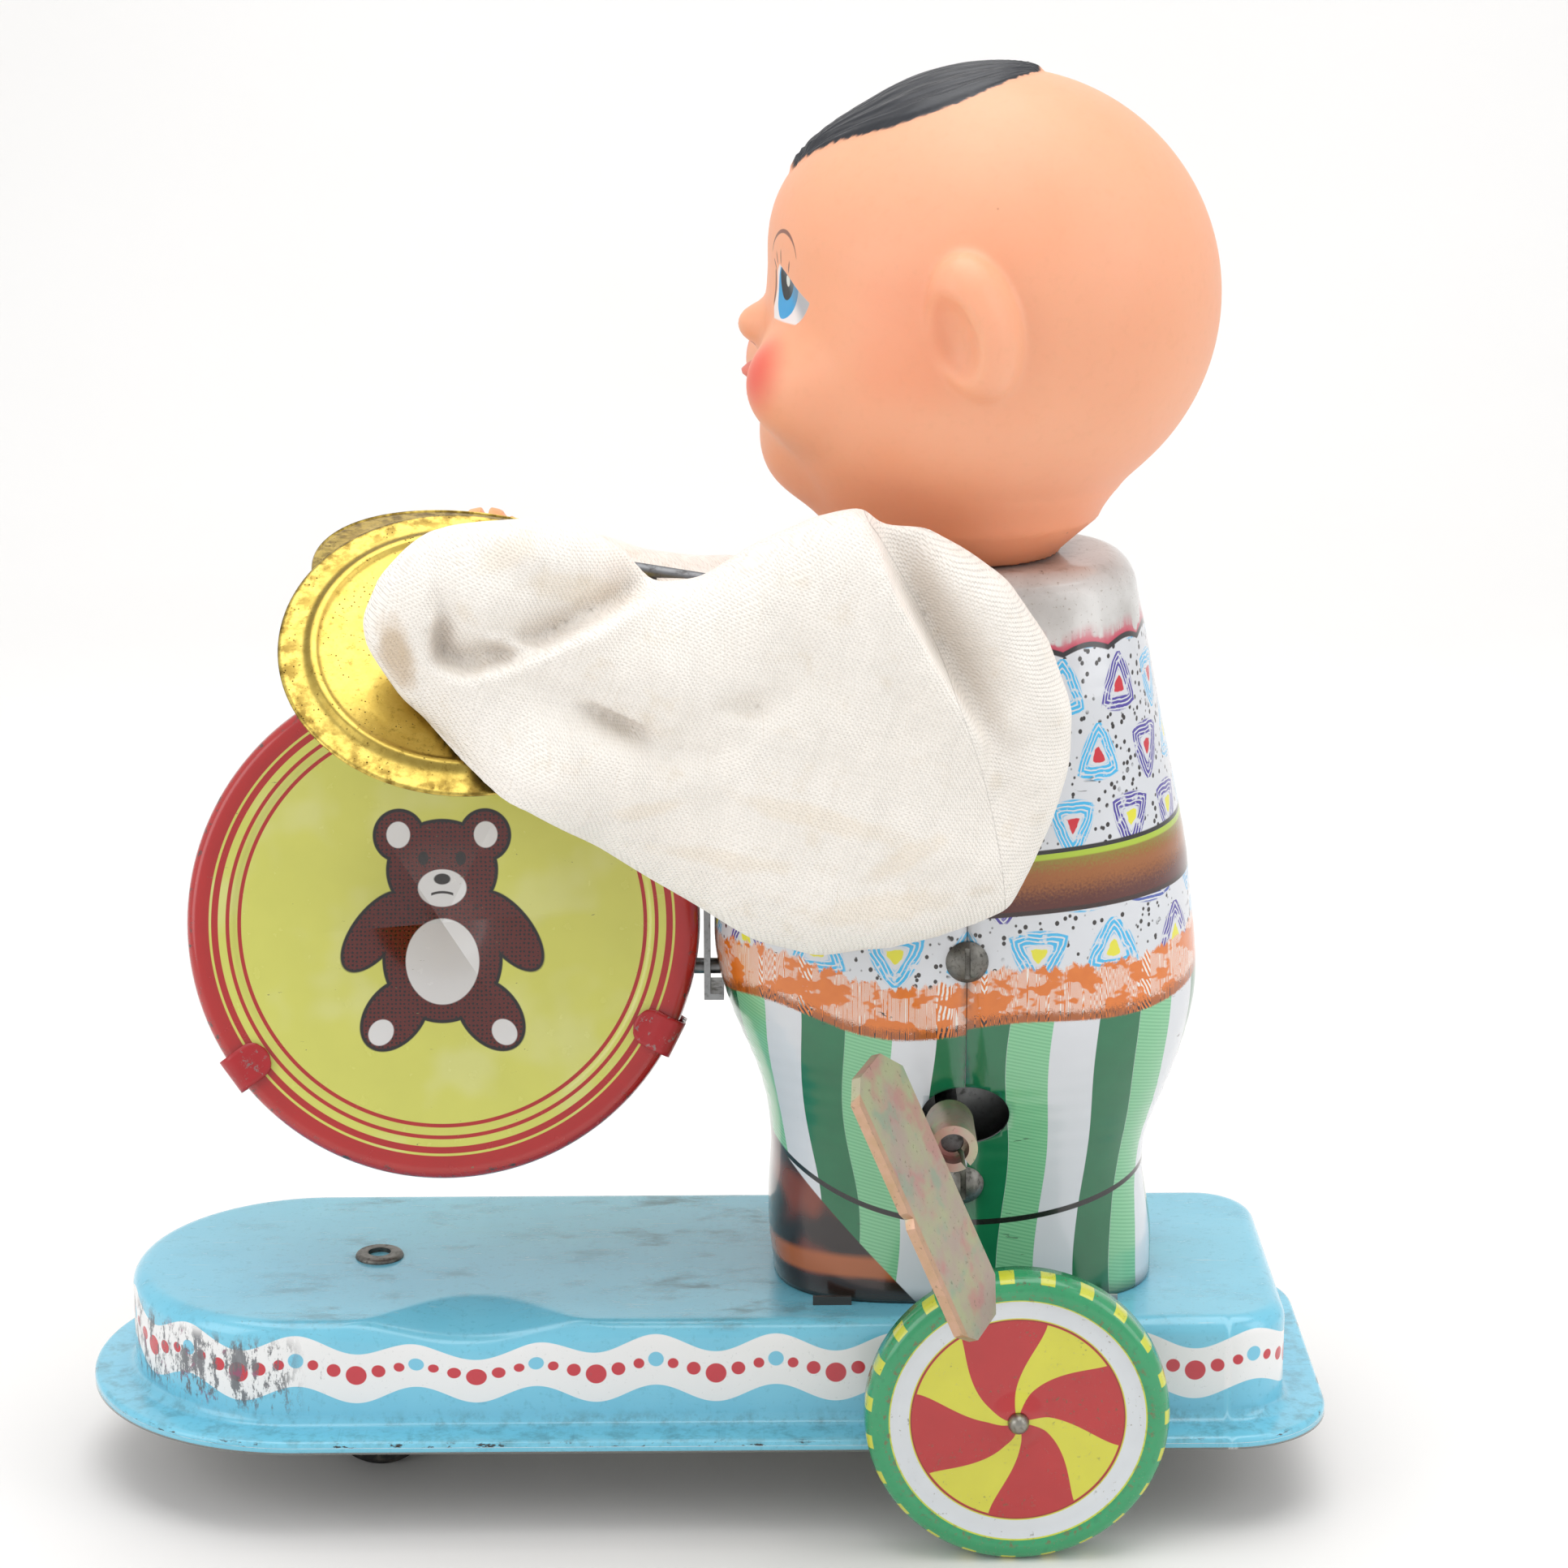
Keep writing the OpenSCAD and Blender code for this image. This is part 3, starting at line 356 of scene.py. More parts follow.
pan_v, pan_uv = [], []
cols = len(pan_path)
top_rows = 42
for r in range(top_rows):
    t = 1 - r / (top_rows - 1)
    for (x, y), n, u in pan_path:
        mx = min(max(x, -56.1), 77.6)
        bx, by = x - 2.6 * n[0], y - 2.6 * n[1]
        pan_v.append((bx + (mx - bx) * t, by * (1 - t), DT))
        pan_uv.append((u, DT + 40 * t + 3))
for q, (r, z) in enumerate(pan_prof[1:]):
    for (x, y), n, u in pan_path:
        pan_v.append((x + n[0] * r, y + n[1] * r, z))
        pan_uv.append((u, z + (0 if q < 27 else 200)))
for t in (0.5, 1.0):
    for (x, y), n, u in pan_path:
        mx = min(max(x, -56.1), 77.6)
        bx, by = x - 2.6 * n[0], y - 2.6 * n[1]
        pan_v.append((bx + (mx - bx) * t, by * (1 - t), DT - 0.5))
        pan_uv.append((u, 260))
pan_v = [pan_dent(*v) for v in pan_v]
tin_blue = Mat("sky_blue_printed_tin", Roughness=0.22, Coat_Weight=0.5, Coat_Roughness=0.12,
    Specular_IOR_Level=0.5)
m = tin_blue
P = m.co()
X, Y, Z = m.xyz(P)
U, V, _ = m.xyz(m.co(uv=True))
wave_c = m.math("COSINE", m.mul(m.sub(U, -4.6), 2 * math.pi / 17.2))
band_c = m.sum(23.55, m.mul(wave_c, 1.3))
band_d = m.math("ABSOLUTE", m.sub(V, band_c))
band = m.inside(m.sub(band_d, 3.85), 0.07)
cellu = m.sub(m.math("PINGPONG", m.sub(U, -4.6), 8.6), 0.0)


def band_dot(cx, cz, r):
    dx, dz = m.sub(cellu, cx), m.sub(V, cz)
    return m.inside(m.sub(m.math("SQRT", m.sum(m.mul(dx, dx), m.mul(dz, dz))), r), 0.07)


reds = m.most(band_dot(2.45, 24.3, 0.78), band_dot(5.4, 23.5, 1.0), band_dot(8.6, 22.75, 1.5))
base = m.mix(m.noise(9.0, detail=4), "7CC8DE", "69BCD6")
base = m.mix(m.mul(m.span(m.noise(1.1, detail=5), 0.55, 0.72), 0.5), base, "5FA9C0")
base = m.paint(base, (band, "E9E8E6"), (m.mul(band, reds), "C32B38"),
    (m.mul(band, band_dot(0.0, 24.95, 1.12)), "76C2DB"))
deck = m.span(Z, DT - 1.6, DT - 0.4)
# grime lies on the deck near the figure and the front, and round the rivet
grime = m.span(m.noise(7.0, m.vmath("MULTIPLY", P, (0.6, 1.4, 1.0)), detail=8, rough=0.7), 0.48, 0.74)
near_fig = m.span(m.math("ABSOLUTE", m.sub(X, 4.0)), 34.0, 4.0)
near_riv = m.span(m.math("ABSOLUTE", m.sum(X, 46.0)), 22.0, 0.0)
grime = m.mul(grime, deck, m.sum(0.22, m.mul(near_fig, 0.5), m.mul(near_riv, 0.4)))
fine = m.span(m.noise(0.55, m.vmath("MULTIPLY", P, (1, 2.2, 1)), detail=2), 0.66, 0.72)
base = m.mix(grime, base, "56605A")
base = m.mix(m.mul(fine, m.sum(0.12, m.mul(deck, 0.25))), base, "4A5452")
scr = m.span(m.noise(0.9, m.vmath("MULTIPLY", P, (0.09, 1.6, 1)), detail=2), 0.70, 0.73)
base = m.mix(m.mul(scr, deck, 0.35), base, "B9CDD2")
# bare, scratched metal on the rounded front, and chips along the flange's edge
front = m.mul(m.span(U, -54.5, -59.0), m.span(U, -112.0, -96.0))
rub_v = m.mul(m.span(V, 16.0, 18.5), m.span(V, 29.0, 26.5))
streak = m.noise(2.2, m.vec(m.mul(U, 1.0), m.mul(V, 0.33), 0.0), detail=9, rough=0.78)
rub = m.mul(m.span(streak, 0.50, 0.545), front, rub_v)
rub = m.most(rub, m.mul(m.span(streak, 0.62, 0.66), m.span(U, -47.0, -56.0), m.span(U, -130.0, -60.0),
    rub_v))
metal_c = m.mix(m.noise(0.8, m.vec(U, m.mul(V, 0.2), 0.0), detail=5), "3A3B40", "8F9296")
metal_c = m.mix(m.span(m.noise(2.4, m.vec(U, V, 7.0), detail=4), 0.56, 0.66), metal_c, "8E5A72")
base = m.mix(m.mul(rub, 0.93), base, metal_c)
edge = m.mul(m.span(V, FZ + 0.1, FZ - 0.5), m.span(V, 5.0, 10.0))
chips = m.mul(edge, m.span(m.noise(1.5, m.vec(m.mul(U, 0.5), m.mul(V, 1.5), 3.0), detail=6, rough=0.7),
    0.56, 0.6))
base = m.mix(chips, base, "3D3733")
foot = m.mul(m.span(m.math("ABSOLUTE", m.sub(V, FZ + 0.4)), 2.4, 0.0),
    m.span(m.noise(3.2, detail=7, rough=0.7), 0.44, 0.68))
base = m.mix(m.mul(foot, 0.5), base, "4C7177")
inner = m.span(V, 150.0, 160.0)
base = m.mix(inner, base, "A9ABA8")
wear = m.most(rub, chips)
m.set(Base_Color=base, Metallic=m.most(m.mul(wear, 0.8), m.mul(inner, 0.9)),
    Roughness=m.sum(0.17, m.mul(grime, 0.5), m.mul(wear, 0.25), m.mul(m.noise(2.0, detail=5), 0.1)))
m.bump(m.sum(m.mul(m.noise(14.0, detail=1), 1.2), m.mul(m.noise(0.8), 0.05), m.mul(m.inv(wear), 0.25)),
    0.06, 0.5)
pan = piece("platform", pan_v, grid_faces(top_rows + len(pan_prof) - 1 + 2, cols, wrap=True), tin_blue,
    pan_uv)
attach(pan, "chassis")
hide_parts("platform_pan")

# ---- head ----
# One hollow soft-vinyl moulding, peach all through, with a moulded and black-painted forelock.
# The cheeks and nose stand proud; eyes, brows, lips and blush are sprayed and printed on.
HC = np.array([44.6, 0.0, 172.5])


def ell_sdf(p, c, r):
    q = (p - np.array(c)) / np.array(r)
    k = np.linalg.norm(q, axis=1)
    return (k - 1) * min(r) * (0.5 + 0.5 * np.clip(k, 0.6, 1.4))


def soft_min(a, b, k):
    h = np.clip(0.5 + 0.5 * (b - a) / k, 0, 1)
    return b + (a - b) * h - k * h * (1 - h)


def head_sdf(p):
    p = p.copy()
    p[:, 1] = np.abs(p[:, 1])
    d = ell_sdf(p, (44.1, 0, 174.0), (31.5, 32.0, 31.4))
    d = soft_min(d, ell_sdf(p, (30.0, 0, 183.0), (17.2, 21.0, 14.5)), 4.0)
    d = soft_min(d, ell_sdf(p, (35.4, 0, 160.5), (23.5, 27.3, 20.7)), 9.0)
    d = soft_min(d, ell_sdf(p, (20.2, 12.2, 163.2), (11.2, 10.9, 9.2)), 2.6)
    d = soft_min(d, ell_sdf(p, (19.3, 0, 153.0), (8.0, 9.5, 7.8)), 4.0)
    neck_d = np.maximum((np.hypot(p[:, 0] - 39.5, p[:, 1]) - 14.0 - 1.0 * np.clip(p[:, 2] - 138, 0,
        5)) * 0.7, np.abs(p[:, 2] - 141.0) - 4.0)
    d = soft_min(d, neck_d, 5.0)
    d = soft_min(d, ell_sdf(p, (12.3, 0, 163.4), (4.0, 4.8, 1.5)), 1.3)
    d = soft_min(d, ell_sdf(p, (13.0, 0, 160.2), (4.0, 4.2, 1.5)), 1.2)
    d = soft_min(d, ell_sdf(p, (12.2, 0, 170.0), (4.3, 3.9, 3.1)), 1.8)
    lean = p.copy()
    lean[:, 0] += 0.16 * (p[:, 2] - 174.0)
    d = soft_min(d, ell_sdf(lean, (39.4, 31.2, 173.8), (6.2, 6.2, 9.8)), 1.3)
    cut = ell_sdf(lean, (34.6, 36.6, 172.4), (4.8, 5.8, 6.6))
    d = -soft_min(-d, cut, 1.2)
    cut = ell_sdf(p, (8.6, 13.5, 176.4), (5.0, 5.0, 3.6))
    return -soft_min(-d, cut, 2.4)


bm = bmesh.new()
bmesh.ops.create_icosphere(bm, subdivisions=7, radius=1.0)
dirs = np.array([v.co[:] for v in bm.verts])
hit_r = np.full(len(dirs), 48.0)
for _ in range(60):
    hit_r -= 0.8 * head_sdf(HC + dirs * hit_r[:, None])
hp = HC + dirs * hit_r[:, None]
hp[:, 2] = np.maximum(hp[:, 2], 137.75)
# forelock: raised with combed grooves
hs = (hp[:, 0] - 15.2) / 35.0
half_w = 13.9 * np.sin(np.pi * np.clip(hs, 0, 1) ** 1.16) ** 0.75 + 0.3
hair_w = np.clip((half_w - np.abs(hp[:, 1])) / 2.4, 0, 1) ** 0.7 * (hp[:, 2] > 189.5) * (hs > 0) * (hs < 1)
comb = np.sin(hp[:, 1] * (7.5 / np.maximum(half_w, 3.5)) * 2.6 + 0.35 * np.sin(hp[:, 0] * 0.9)) * 0.5 + 0.5
hp += dirs * (hair_w * (0.55 + 0.42 * comb))[:, None]
for v, c in zip(bm.verts, hp):
    v.co = Vector(c * 0.001)
head_me = bpy.data.meshes.new("doll_head")
bm.to_mesh(head_me)
bm.free()
head_me.polygons.foreach_set("use_smooth", [True] * len(head_me.polygons))
head_o = bpy.data.objects.new("doll_head", head_me)
bpy.context.scene.collection.objects.link(head_o)
dec = head_o.modifiers.new("d", "DECIMATE")
dec.ratio = 0.55
bake(head_o)
m = vinyl = Mat("peach_soft_vinyl", Roughness=0.42, Subsurface_Weight=0.35, Subsurface_Scale=0.004,
    Specular_IOR_Level=0.45)
m.b.inputs["Subsurface Radius"].default_value = (1.0, 0.45, 0.3)
X, Y, Z = m.xyz(m.co())
Y = m.math("ABSOLUTE", Y)
base = m.mix(m.noise(22.0, detail=2), "F0B08C", "EBA27C")
base = m.mix(m.mul(m.span(m.noise(1.6, detail=5), 0.5, 0.75), 0.16), base, "D99A76")
base = m.mix(m.mul(m.span(m.noise(30.0), 0.5, 0.7), 0.25), base, "EE9F74")
# painted shade: the vinyl turns darker and more orange toward the neck, below the lit top of the head
base = m.mix(m.mul(m.span(Z, 160.0, 140.0), 0.6), base, "EB8A5C")
base = m.mix(m.mul(m.span(m.math("ABSOLUTE", m.sub(X, 30.0)), 9.0, 3.0),
    m.span(m.math("ABSOLUTE", m.sub(Z, 172.0)), 12.0, 5.0), 0.4), base, "EE9670")
dots = m.cells(9.0)
base = m.mix(m.mul(m.span(dots[0], 0.035, 0.015), m.span(m.xyz(dots[1])[0], 0.45, 0.5)), base, "9B6A50")


def dist3(cx, cy, cz):
    n = m.add("ShaderNodeVectorMath", operation="LENGTH")
    m.put(n.inputs[0], m.vec(m.sub(X, cx), m.sub(Y, cy), m.sub(Z, cz)))
    return n.outputs["Value"]


base = m.mix(m.mul(m.span(dist3(12.0, 15.4, 165.0), 7.0, 1.6), 0.95), base, "E4604F")
base = m.mix(m.mul(m.span(dist3(14.0, 6.0, 171.5), 4.5, 1.5), 0.5), base, "F09A70")
face = m.span(X, 26.0, 24.0)
# eye: white, blue iris, dark upper pupil with a catch light, grey shaded lid, lashes and a thin arched brow
ew = m.mul(face, m.ell(Y, Z, 13.2, 175.9, 5.0, 5.2, 8), m.inside(m.sub(m.mul(m.sub(Y, 9.4), 0.5),
    m.sub(179.7, Z)), 0.1), m.span(Y, 8.7, 8.9))
ew = m.mul(ew, m.span(Z, 172.0, 172.3))
iris = m.mul(ew, m.ell(Y, Z, 12.4, 176.3, 3.1, 3.9, 14))
pupil = m.mul(iris, m.ell(Y, Z, 12.0, 177.4, 2.1, 2.5, 16))
lid = m.mul(ew, m.span(m.sum(Z, m.mul(Y, 0.95)), 188.0, 190.6))
base = m.paint(base, (ew, "E9DEDA"), (iris, "3C9CD0"), (m.mul(iris, m.span(Y, 9.6, 8.6)), "8FA9BC"),
    (pupil, "1F2324"), (m.mul(lid, 0.6), "74828C"), (m.mul(ew, m.ell(Y, Z, 12.3, 177.6, 0.6, 0.8)),
    "D9DBD2"))
rim = m.mul(face, m.inside(m.sub(m.math("ABSOLUTE", m.sub(m.sub(Y, 8.35), m.mul(m.sub(Z, 176.0), -0.08))),
    0.22), 0.1), m.span(Z, 173.5, 174.5), m.span(Z, 179.0, 178.4))
base = m.mix(m.mul(rim, 0.8), base, "4A3B3C")
for ly, lz, tilt, ln in ((8.6, 180.3, 24, 0.9), (10.0, 180.6, 6, 1.0), (12.6, 179.5, -8, 0.8),
    (7.8, 179.4, 44, 0.9)):
    base = m.mix(m.mul(face, 0.75, m.ell(Y, Z, ly, lz, 0.16, ln, tilt)), base, "5A4443")
bd = m.math("ABSOLUTE", m.sub(m.math("SQRT", m.sum(m.mul(m.sub(Y, 10.3), m.sub(Y, 10.3)),
    m.mul(m.sub(Z, 179.6), m.sub(Z, 179.6), 0.9))), 4.3))
brow = m.mul(face, m.inside(m.sub(bd, m.span(m.math("ABSOLUTE", m.sub(Y, 10.0)), 5.4, 1.0, 0.02, 0.26)),
    0.08), m.span(Z, 180.6, 181.2))
base = m.mix(m.mul(brow, 0.85), base, "6F4B47")
lips = m.mul(m.span(X, 13.6, 12.6), m.ell(Y, Z, 0.0, 161.8, 4.4, 3.4))
base = m.mix(m.mul(lips, 0.8), base, "D8665C")
nostril = m.mul(m.span(X, 13.0, 12.0), m.ell(Y, Z, 1.5, 167.4, 0.5, 0.35))
base = m.mix(m.mul(nostril, 0.6), base, "B5604A")
# painted forelock, slightly streaky at its edge
hs_n = m.mul(m.sub(X, 15.2), 1 / 35.0)
hs_c = m.math("MINIMUM", m.most(hs_n, 0.0), 1.0)
hw_n = m.sum(m.mul(m.math("POWER", m.most(m.math("SINE", m.mul(m.math("POWER", hs_c, 1.16), math.pi)), 0.0),
    0.75), 13.9), 0.3)
streaks = m.noise(0.8, m.vec(m.mul(X, 0.12), Y, 0.0), detail=2)
hair = m.mul(m.inside(m.sub(m.sub(Y, hw_n), m.mul(m.sub(streaks, 0.5), 0.9)), 0.2), m.span(Z, 189.0, 190.0),
    m.span(hs_n, 0.0, 0.02), m.span(hs_n, 1.0, 0.98))
hair_c = m.mix(m.noise(0.5, m.vec(m.mul(X, 0.1), Y, 0.0), detail=3), "15161A", "34363C")
base = m.mix(hair, base, hair_c)
m.set(Base_Color=base, Roughness=m.sum(m.mul(hair, -0.1), 0.4, m.mul(m.noise(1.1, detail=4), 0.1)),
    Subsurface_Weight=m.mul(m.inv(hair), 0.35))
hg = m.math("SINE", m.mul(m.math("DIVIDE", Y, m.most(hw_n, 3.5)), 62.0))
m.bump(m.sum(m.mul(hair, hg, 0.6), m.mul(m.noise(0.5, detail=2), 0.12), m.mul(m.noise(5.0), 0.5)), 0.12,
    0.6)
head_o.data.materials.clear()
head_o.data.materials.append(vinyl.m)
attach(head_o, "head")
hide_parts("head")

# ---- body: two thin printed tin pressings, front and rear, meeting on a seam up each side ----
# Collar, shirt, belt, fur hem, striped trousers and boots are printed on the flat sheet; a keyhole is cut
# across the seam.
SEAM = 39.5
zz = np.arange(20.0, 150.0, 0.25)


def run_of(pts, soft=3.0):
    v = np.interp(zz, [p[0] for p in pts], [p[1] for p in pts])
    k = np.exp(-(np.arange(-40, 41) * 0.25 / soft) ** 2)
    return np.convolve(np.pad(v, 40, mode="edge"), k / k.sum(), mode="valid")


front_x = run_of([(30, 12.7), (36.1, 11.6), (42.5, 11.8), (48.9, 12.3), (56.6, 11.6), (62.9, 9.9),
    (69.2, 7.0), (75.4, 4.7), (80.4, 3.8), (88, 4.2), (104, 7.6), (122, 12.4), (134, 16.4)])
rear_x = run_of([(30, 68.2), (37, 68.4), (46, 66.7), (52.4, 67.0), (62.5, 71.2), (68.8, 73.1), (73.8, 74.2),
    (80, 74.1), (86.2, 73.3), (94.9, 72.4), (104.6, 70.4), (116.7, 67.8), (127.5, 65.7), (134, 64.2)])
half_y = run_of([(30, 20.0), (46, 19.8), (56, 21.6), (68, 25.1), (75, 26.2), (84, 26.1), (104, 25.0),
    (120, 23.8), (128, 22.0), (134, 20.2)])
power = run_of([(30, 3.3), (56, 3.0), (80, 2.5), (122, 2.5), (134, 2.5)])


def body_half(name, sign, mat):
    rows = [(z, 0.0) for z in np.linspace(30.4, 133.2, 150)]
    rows += [(133.2 + 4.2 * math.sin(a), 4.2 * (1 - math.cos(a))) for a in np.linspace(0.12, math.pi / 2,
        10)]
    n = 84
    v, uv = [], []
    for z, inset in rows + [(137.4, -t) for t in (0.12, 0.35, 0.6, 0.85, 1.0)]:
        i = int(round((min(z, 137.0) - 20.0) / 0.25))
        cx, ax = (front_x[i] + rear_x[i]) / 2, (rear_x[i] - front_x[i]) / 2 - max(inset, 0)
        ay, e = half_y[i] - max(inset, 0), power[i]
        if inset < 0:
            cx, ax, ay = last
        last = (cx, ax, ay)
        q = (SEAM + sign * 0.06 - cx) / ax
        th0 = math.acos(max(-1, min(1, math.copysign(abs(q) ** (e / 2), q))))
        ths = np.linspace(-th0, -2 * math.pi + th0, n) if sign < 0 else np.linspace(-th0, th0, n)
        px = cx + ax * np.sign(np.cos(ths)) * np.abs(np.cos(ths)) ** (2 / e)
        py = ay * np.sign(np.sin(ths)) * np.abs(np.sin(ths)) ** (2 / e)
        px[0] = px[-1] = SEAM + sign * 0.06
        s = np.concatenate([[0], np.cumsum(np.hypot(np.diff(px), np.diff(py)))])
        s = np.minimum(s, s[-1] - s)
        if inset < 0:
            ang = np.arctan2(py, px - SEAM)
            px = px + (SEAM + 7.7 * np.cos(ang) - px) * -inset
            py = py + (7.7 * np.sin(ang) - py) * -inset
            px = SEAM + sign * np.maximum(sign * (px - SEAM), 0.06)
        v += [(x, y, z) for x, y in zip(px, py)]
        uv += [(SEAM + sign * a, z + (0 if inset >= 0 else -inset * 12)) for a in s]
    o = piece(name, v, grid_faces(len(v) // n, n), mat, uv)
    bm = bmesh.new()
    bm.from_mesh(o.data)
    bmesh.ops.recalc_face_normals(bm, faces=bm.faces)
    c = max(bm.faces, key=lambda f: f.calc_area())
    if (c.calc_center_median() - Vector((SEAM * 0.001, 0, c.calc_center_median().z))).dot(c.normal) < 0:
        bmesh.ops.reverse_faces(bm, faces=bm.faces)
    bm.to_mesh(o.data)
    bm.free()
    wall = o.modifiers.new("wall", "SOLIDIFY")
    wall.thickness, wall.offset = 0.0005, -1
    bake(o)
    cutter = piece("cut", [(SEAM + 6.3 * math.cos(a) + (0.4 if k else 0), -40 if k else -15,
        60.2 + 4.7 * math.sin(a)) for k in (0, 1) for a in np.linspace(0, 2 * math.pi, 64, endpoint=False)],
        [], None)
    k = [(i, (i + 1) % 64, 64 + (i + 1) % 64, 64 + i) for i in range(64)] + [tuple(range(63, -1, -1)),
        tuple(range(64, 128))]
    me = bpy.data.meshes.new("cut")
    me.from_pydata([c.co[:] for c in cutter.data.vertices], [], k)
    cutter.data = me
    outward(cutter)
    cut = o.modifiers.new("hole", "BOOLEAN")
    cut.object, cut.solver = cutter, "EXACT"
    bake(o)
    bpy.data.objects.remove(cutter)
    tabs = []
    for s in (-1, 1):
        x, y = (20.8 if sign < 0 else 59.3), s * 19.9
        tabs += [(x + a * 2.8, y + b * 0.28, z) for a, b in ((-1, -1), (1, -1), (1, 1),
            (-1, 1)) for z in (28.6, 31.6)]
    tab = piece(name + "_tab", tabs, [tuple(8 * k + i for i in f) for k in (0, 1) for f in ((0, 2, 3, 1),
        (2, 4, 5, 3), (4, 6, 7, 5), (6, 0, 1, 7), (1, 3, 5, 7), (0, 6, 4, 2))], mat, smooth=False)
    outward(tab)
    bpy.ops.object.select_all(action="DESELECT")
    tab.data.uv_layers.new(name="UVMap")
    tab.select_set(True)
    o.select_set(True)
    bpy.context.view_layer.objects.active = o
    bpy.ops.object.join()
    return o


cloth_print = Mat("printed_clothes_tin", Roughness=0.2, Coat_Weight=0.6, Coat_Roughness=0.1)
m = cloth_print
X, Y, Z = m.xyz(m.co())
U, V, _ = m.xyz(m.co(uv=True))
S = m.sub(U, SEAM)
side = m.math("ABSOLUTE", S)
rear = m.span(S, -0.05, 0.05)
jit = m.noise(2.2, m.vec(U, V, 0.0), detail=2)
fine = m.noise(0.5, m.vec(U, V, 4.0), detail=2)
white = m.mix(m.noise(14.0, detail=3), "DADCE0", "CDCFD2")
# shirt motifs on a staggered grid: hatched rounded triangles in two inks, a blot in each, specks between
row = m.math("FLOOR", m.mul(m.sum(V, 2.6), 1 / 9.2))
upper = m.span(V, 92.9, 93.1)
step_x = m.sum(11.6, m.mul(upper, -2.4))
cu = m.math("DIVIDE", m.sum(side, m.mul(row, 5.4), 400.0 - 0.6), step_x)
cid = m.vec(m.math("FLOOR", cu), row, 0.0)
wn = m.add("ShaderNodeTexWhiteNoise", noise_dimensions="3D")
m.put(wn.inputs["Vector"], cid)
r1, r2, r3 = m.xyz(wn.outputs["Color"])
qx = m.mul(m.sum(m.math("FRACT", cu), -0.5), 12.0)
qy = m.mul(m.sum(m.math("FRACT", m.mul(m.sum(V, 2.6), 1 / 9.2)), -0.5), 9.2)
flip = m.math("SUBTRACT", m.mul(m.math("GREATER_THAN", r2, 0.5), 2.0), 1.0)
qy = m.mul(qy, flip)
qx = m.sum(qx, m.mul(m.sub(r1, 0.5), 1.2))
tri = m.most(m.mul(qy, -1.0), m.sum(m.mul(qx, 0.866), m.mul(qy, 0.5)),
    m.sum(m.mul(qx, -0.866), m.mul(qy, 0.5)))
rad = m.math("SQRT", m.sum(m.mul(qx, qx), m.mul(qy, qy)))
md = m.sum(m.mul(tri, 0.75), m.mul(rad, 0.42))
ang = m.math("ARCTAN2", qy, qx)
strokes = m.math("SINE", m.sum(m.mul(md, 2 * math.pi / 0.74), m.mul(m.math("SINE", m.mul(ang, 3.0)), 2.2),
    m.mul(jit, 6.0)))
gaps = m.span(m.noise(1.5, m.vec(m.mul(U, 1.0), V, 9.0), detail=3), 0.34, 0.46)
ring = m.mul(m.inside(m.sub(m.math("ABSOLUTE", m.sub(md, 2.9)), 1.15), 0.2), m.span(strokes, -0.75, -0.2),
    gaps)
ink = m.mix(m.span(r1, 0.42, 0.44), "4A3C98", "3FB2E2")
blot = m.inside(m.sum(md, m.mul(m.sub(jit, 0.5), 1.6), -1.05), 0.1)
blot_c = m.mix(m.span(r3, 0.49, 0.51), "C81E2E", "DFD936")
sp = m.cells(1.2, m.vec(m.mul(U, 1.15), V, 0.0))
specks = m.mul(m.inside(m.sub(sp[0], 0.3), 0.05), m.span(md, 4.0, 4.3),
    m.span(m.noise(4.2, m.vec(U, V, 2.0), detail=1), 0.33, 0.42))
shirt = m.paint(white, (ring, ink), (blot, blot_c), (specks, "2A2522"))
# trousers: wavy stripes, dark green, hatched light green and white
flare = m.span(V, 44.0, 73.0, 0.86, 1.0)
w = m.sum(m.math("DIVIDE", side, flare), m.mul(m.math("SINE", m.mul(m.sum(V, m.mul(rear, 6.0)), 0.19)),
    0.75), m.mul(rear, -1.6), 1.4)
ph = m.math("MODULO", m.sum(w, 13.4), 19.6)
dark = m.inside(m.sub(m.math("ABSOLUTE", m.sub(ph, 16.3)), 3.3), 0.06)
light = m.mul(m.span(ph, 0.0, 0.05), m.inside(m.sub(ph, 6.2), 0.06))
swap = m.mul(m.span(ph, 6.2, 6.3), m.inside(m.sub(ph, 13.0), 0.06))
l_rear = m.mix(rear, swap, light)
hatch = m.span(m.math("SINE", m.mul(m.sum(V, m.mul(U, 0.25)), 2 * math.pi / 0.55)), -0.3, 0.5)
green_d = m.mix(m.noise(5.0, detail=5), "17744A", "12623D")
green_l = m.mix(m.mul(hatch, 0.55), "85C394", "5AA878")
pants = m.paint(white, (l_rear, green_l), (dark, green_d))
cx2 = m.mul(m.sub(X, 39.0), m.sub(X, 39.0))
hoop = m.sum(42.8, m.mul(cx2, m.mix(m.span(X, 38.9, 39.1), (0.0135,) * 3 + (1,), (0.0072,) * 3 + (1,))))
pants = m.mix(m.inside(m.sub(m.math("ABSOLUTE", m.sub(V, hoop)), 0.42), 0.08), pants, "1B1A19")
boot = m.mul(m.inside(m.sub(V, m.sub(50.5, m.mul(m.sub(X, 14.5), 1.08))), 0.15), m.span(X, 39.0, 38.5))
boot_c = m.mix(m.span(m.noise(7.0, m.vmath("MULTIPLY", m.vec(X, 0.0, Z), (1, 1, 0.8)), detail=1), 0.42,
    0.62), "1B0D0B", "7A321C")
boot_c = m.mix(m.mul(m.span(V, 38.0, 36.6), m.span(V, 33.4, 34.6)), boot_c, "A9592A")
boot_c = m.mix(m.span(V, 34.4, 33.2), boot_c, "2A120C")
pants = m.mix(boot, pants, boot_c)
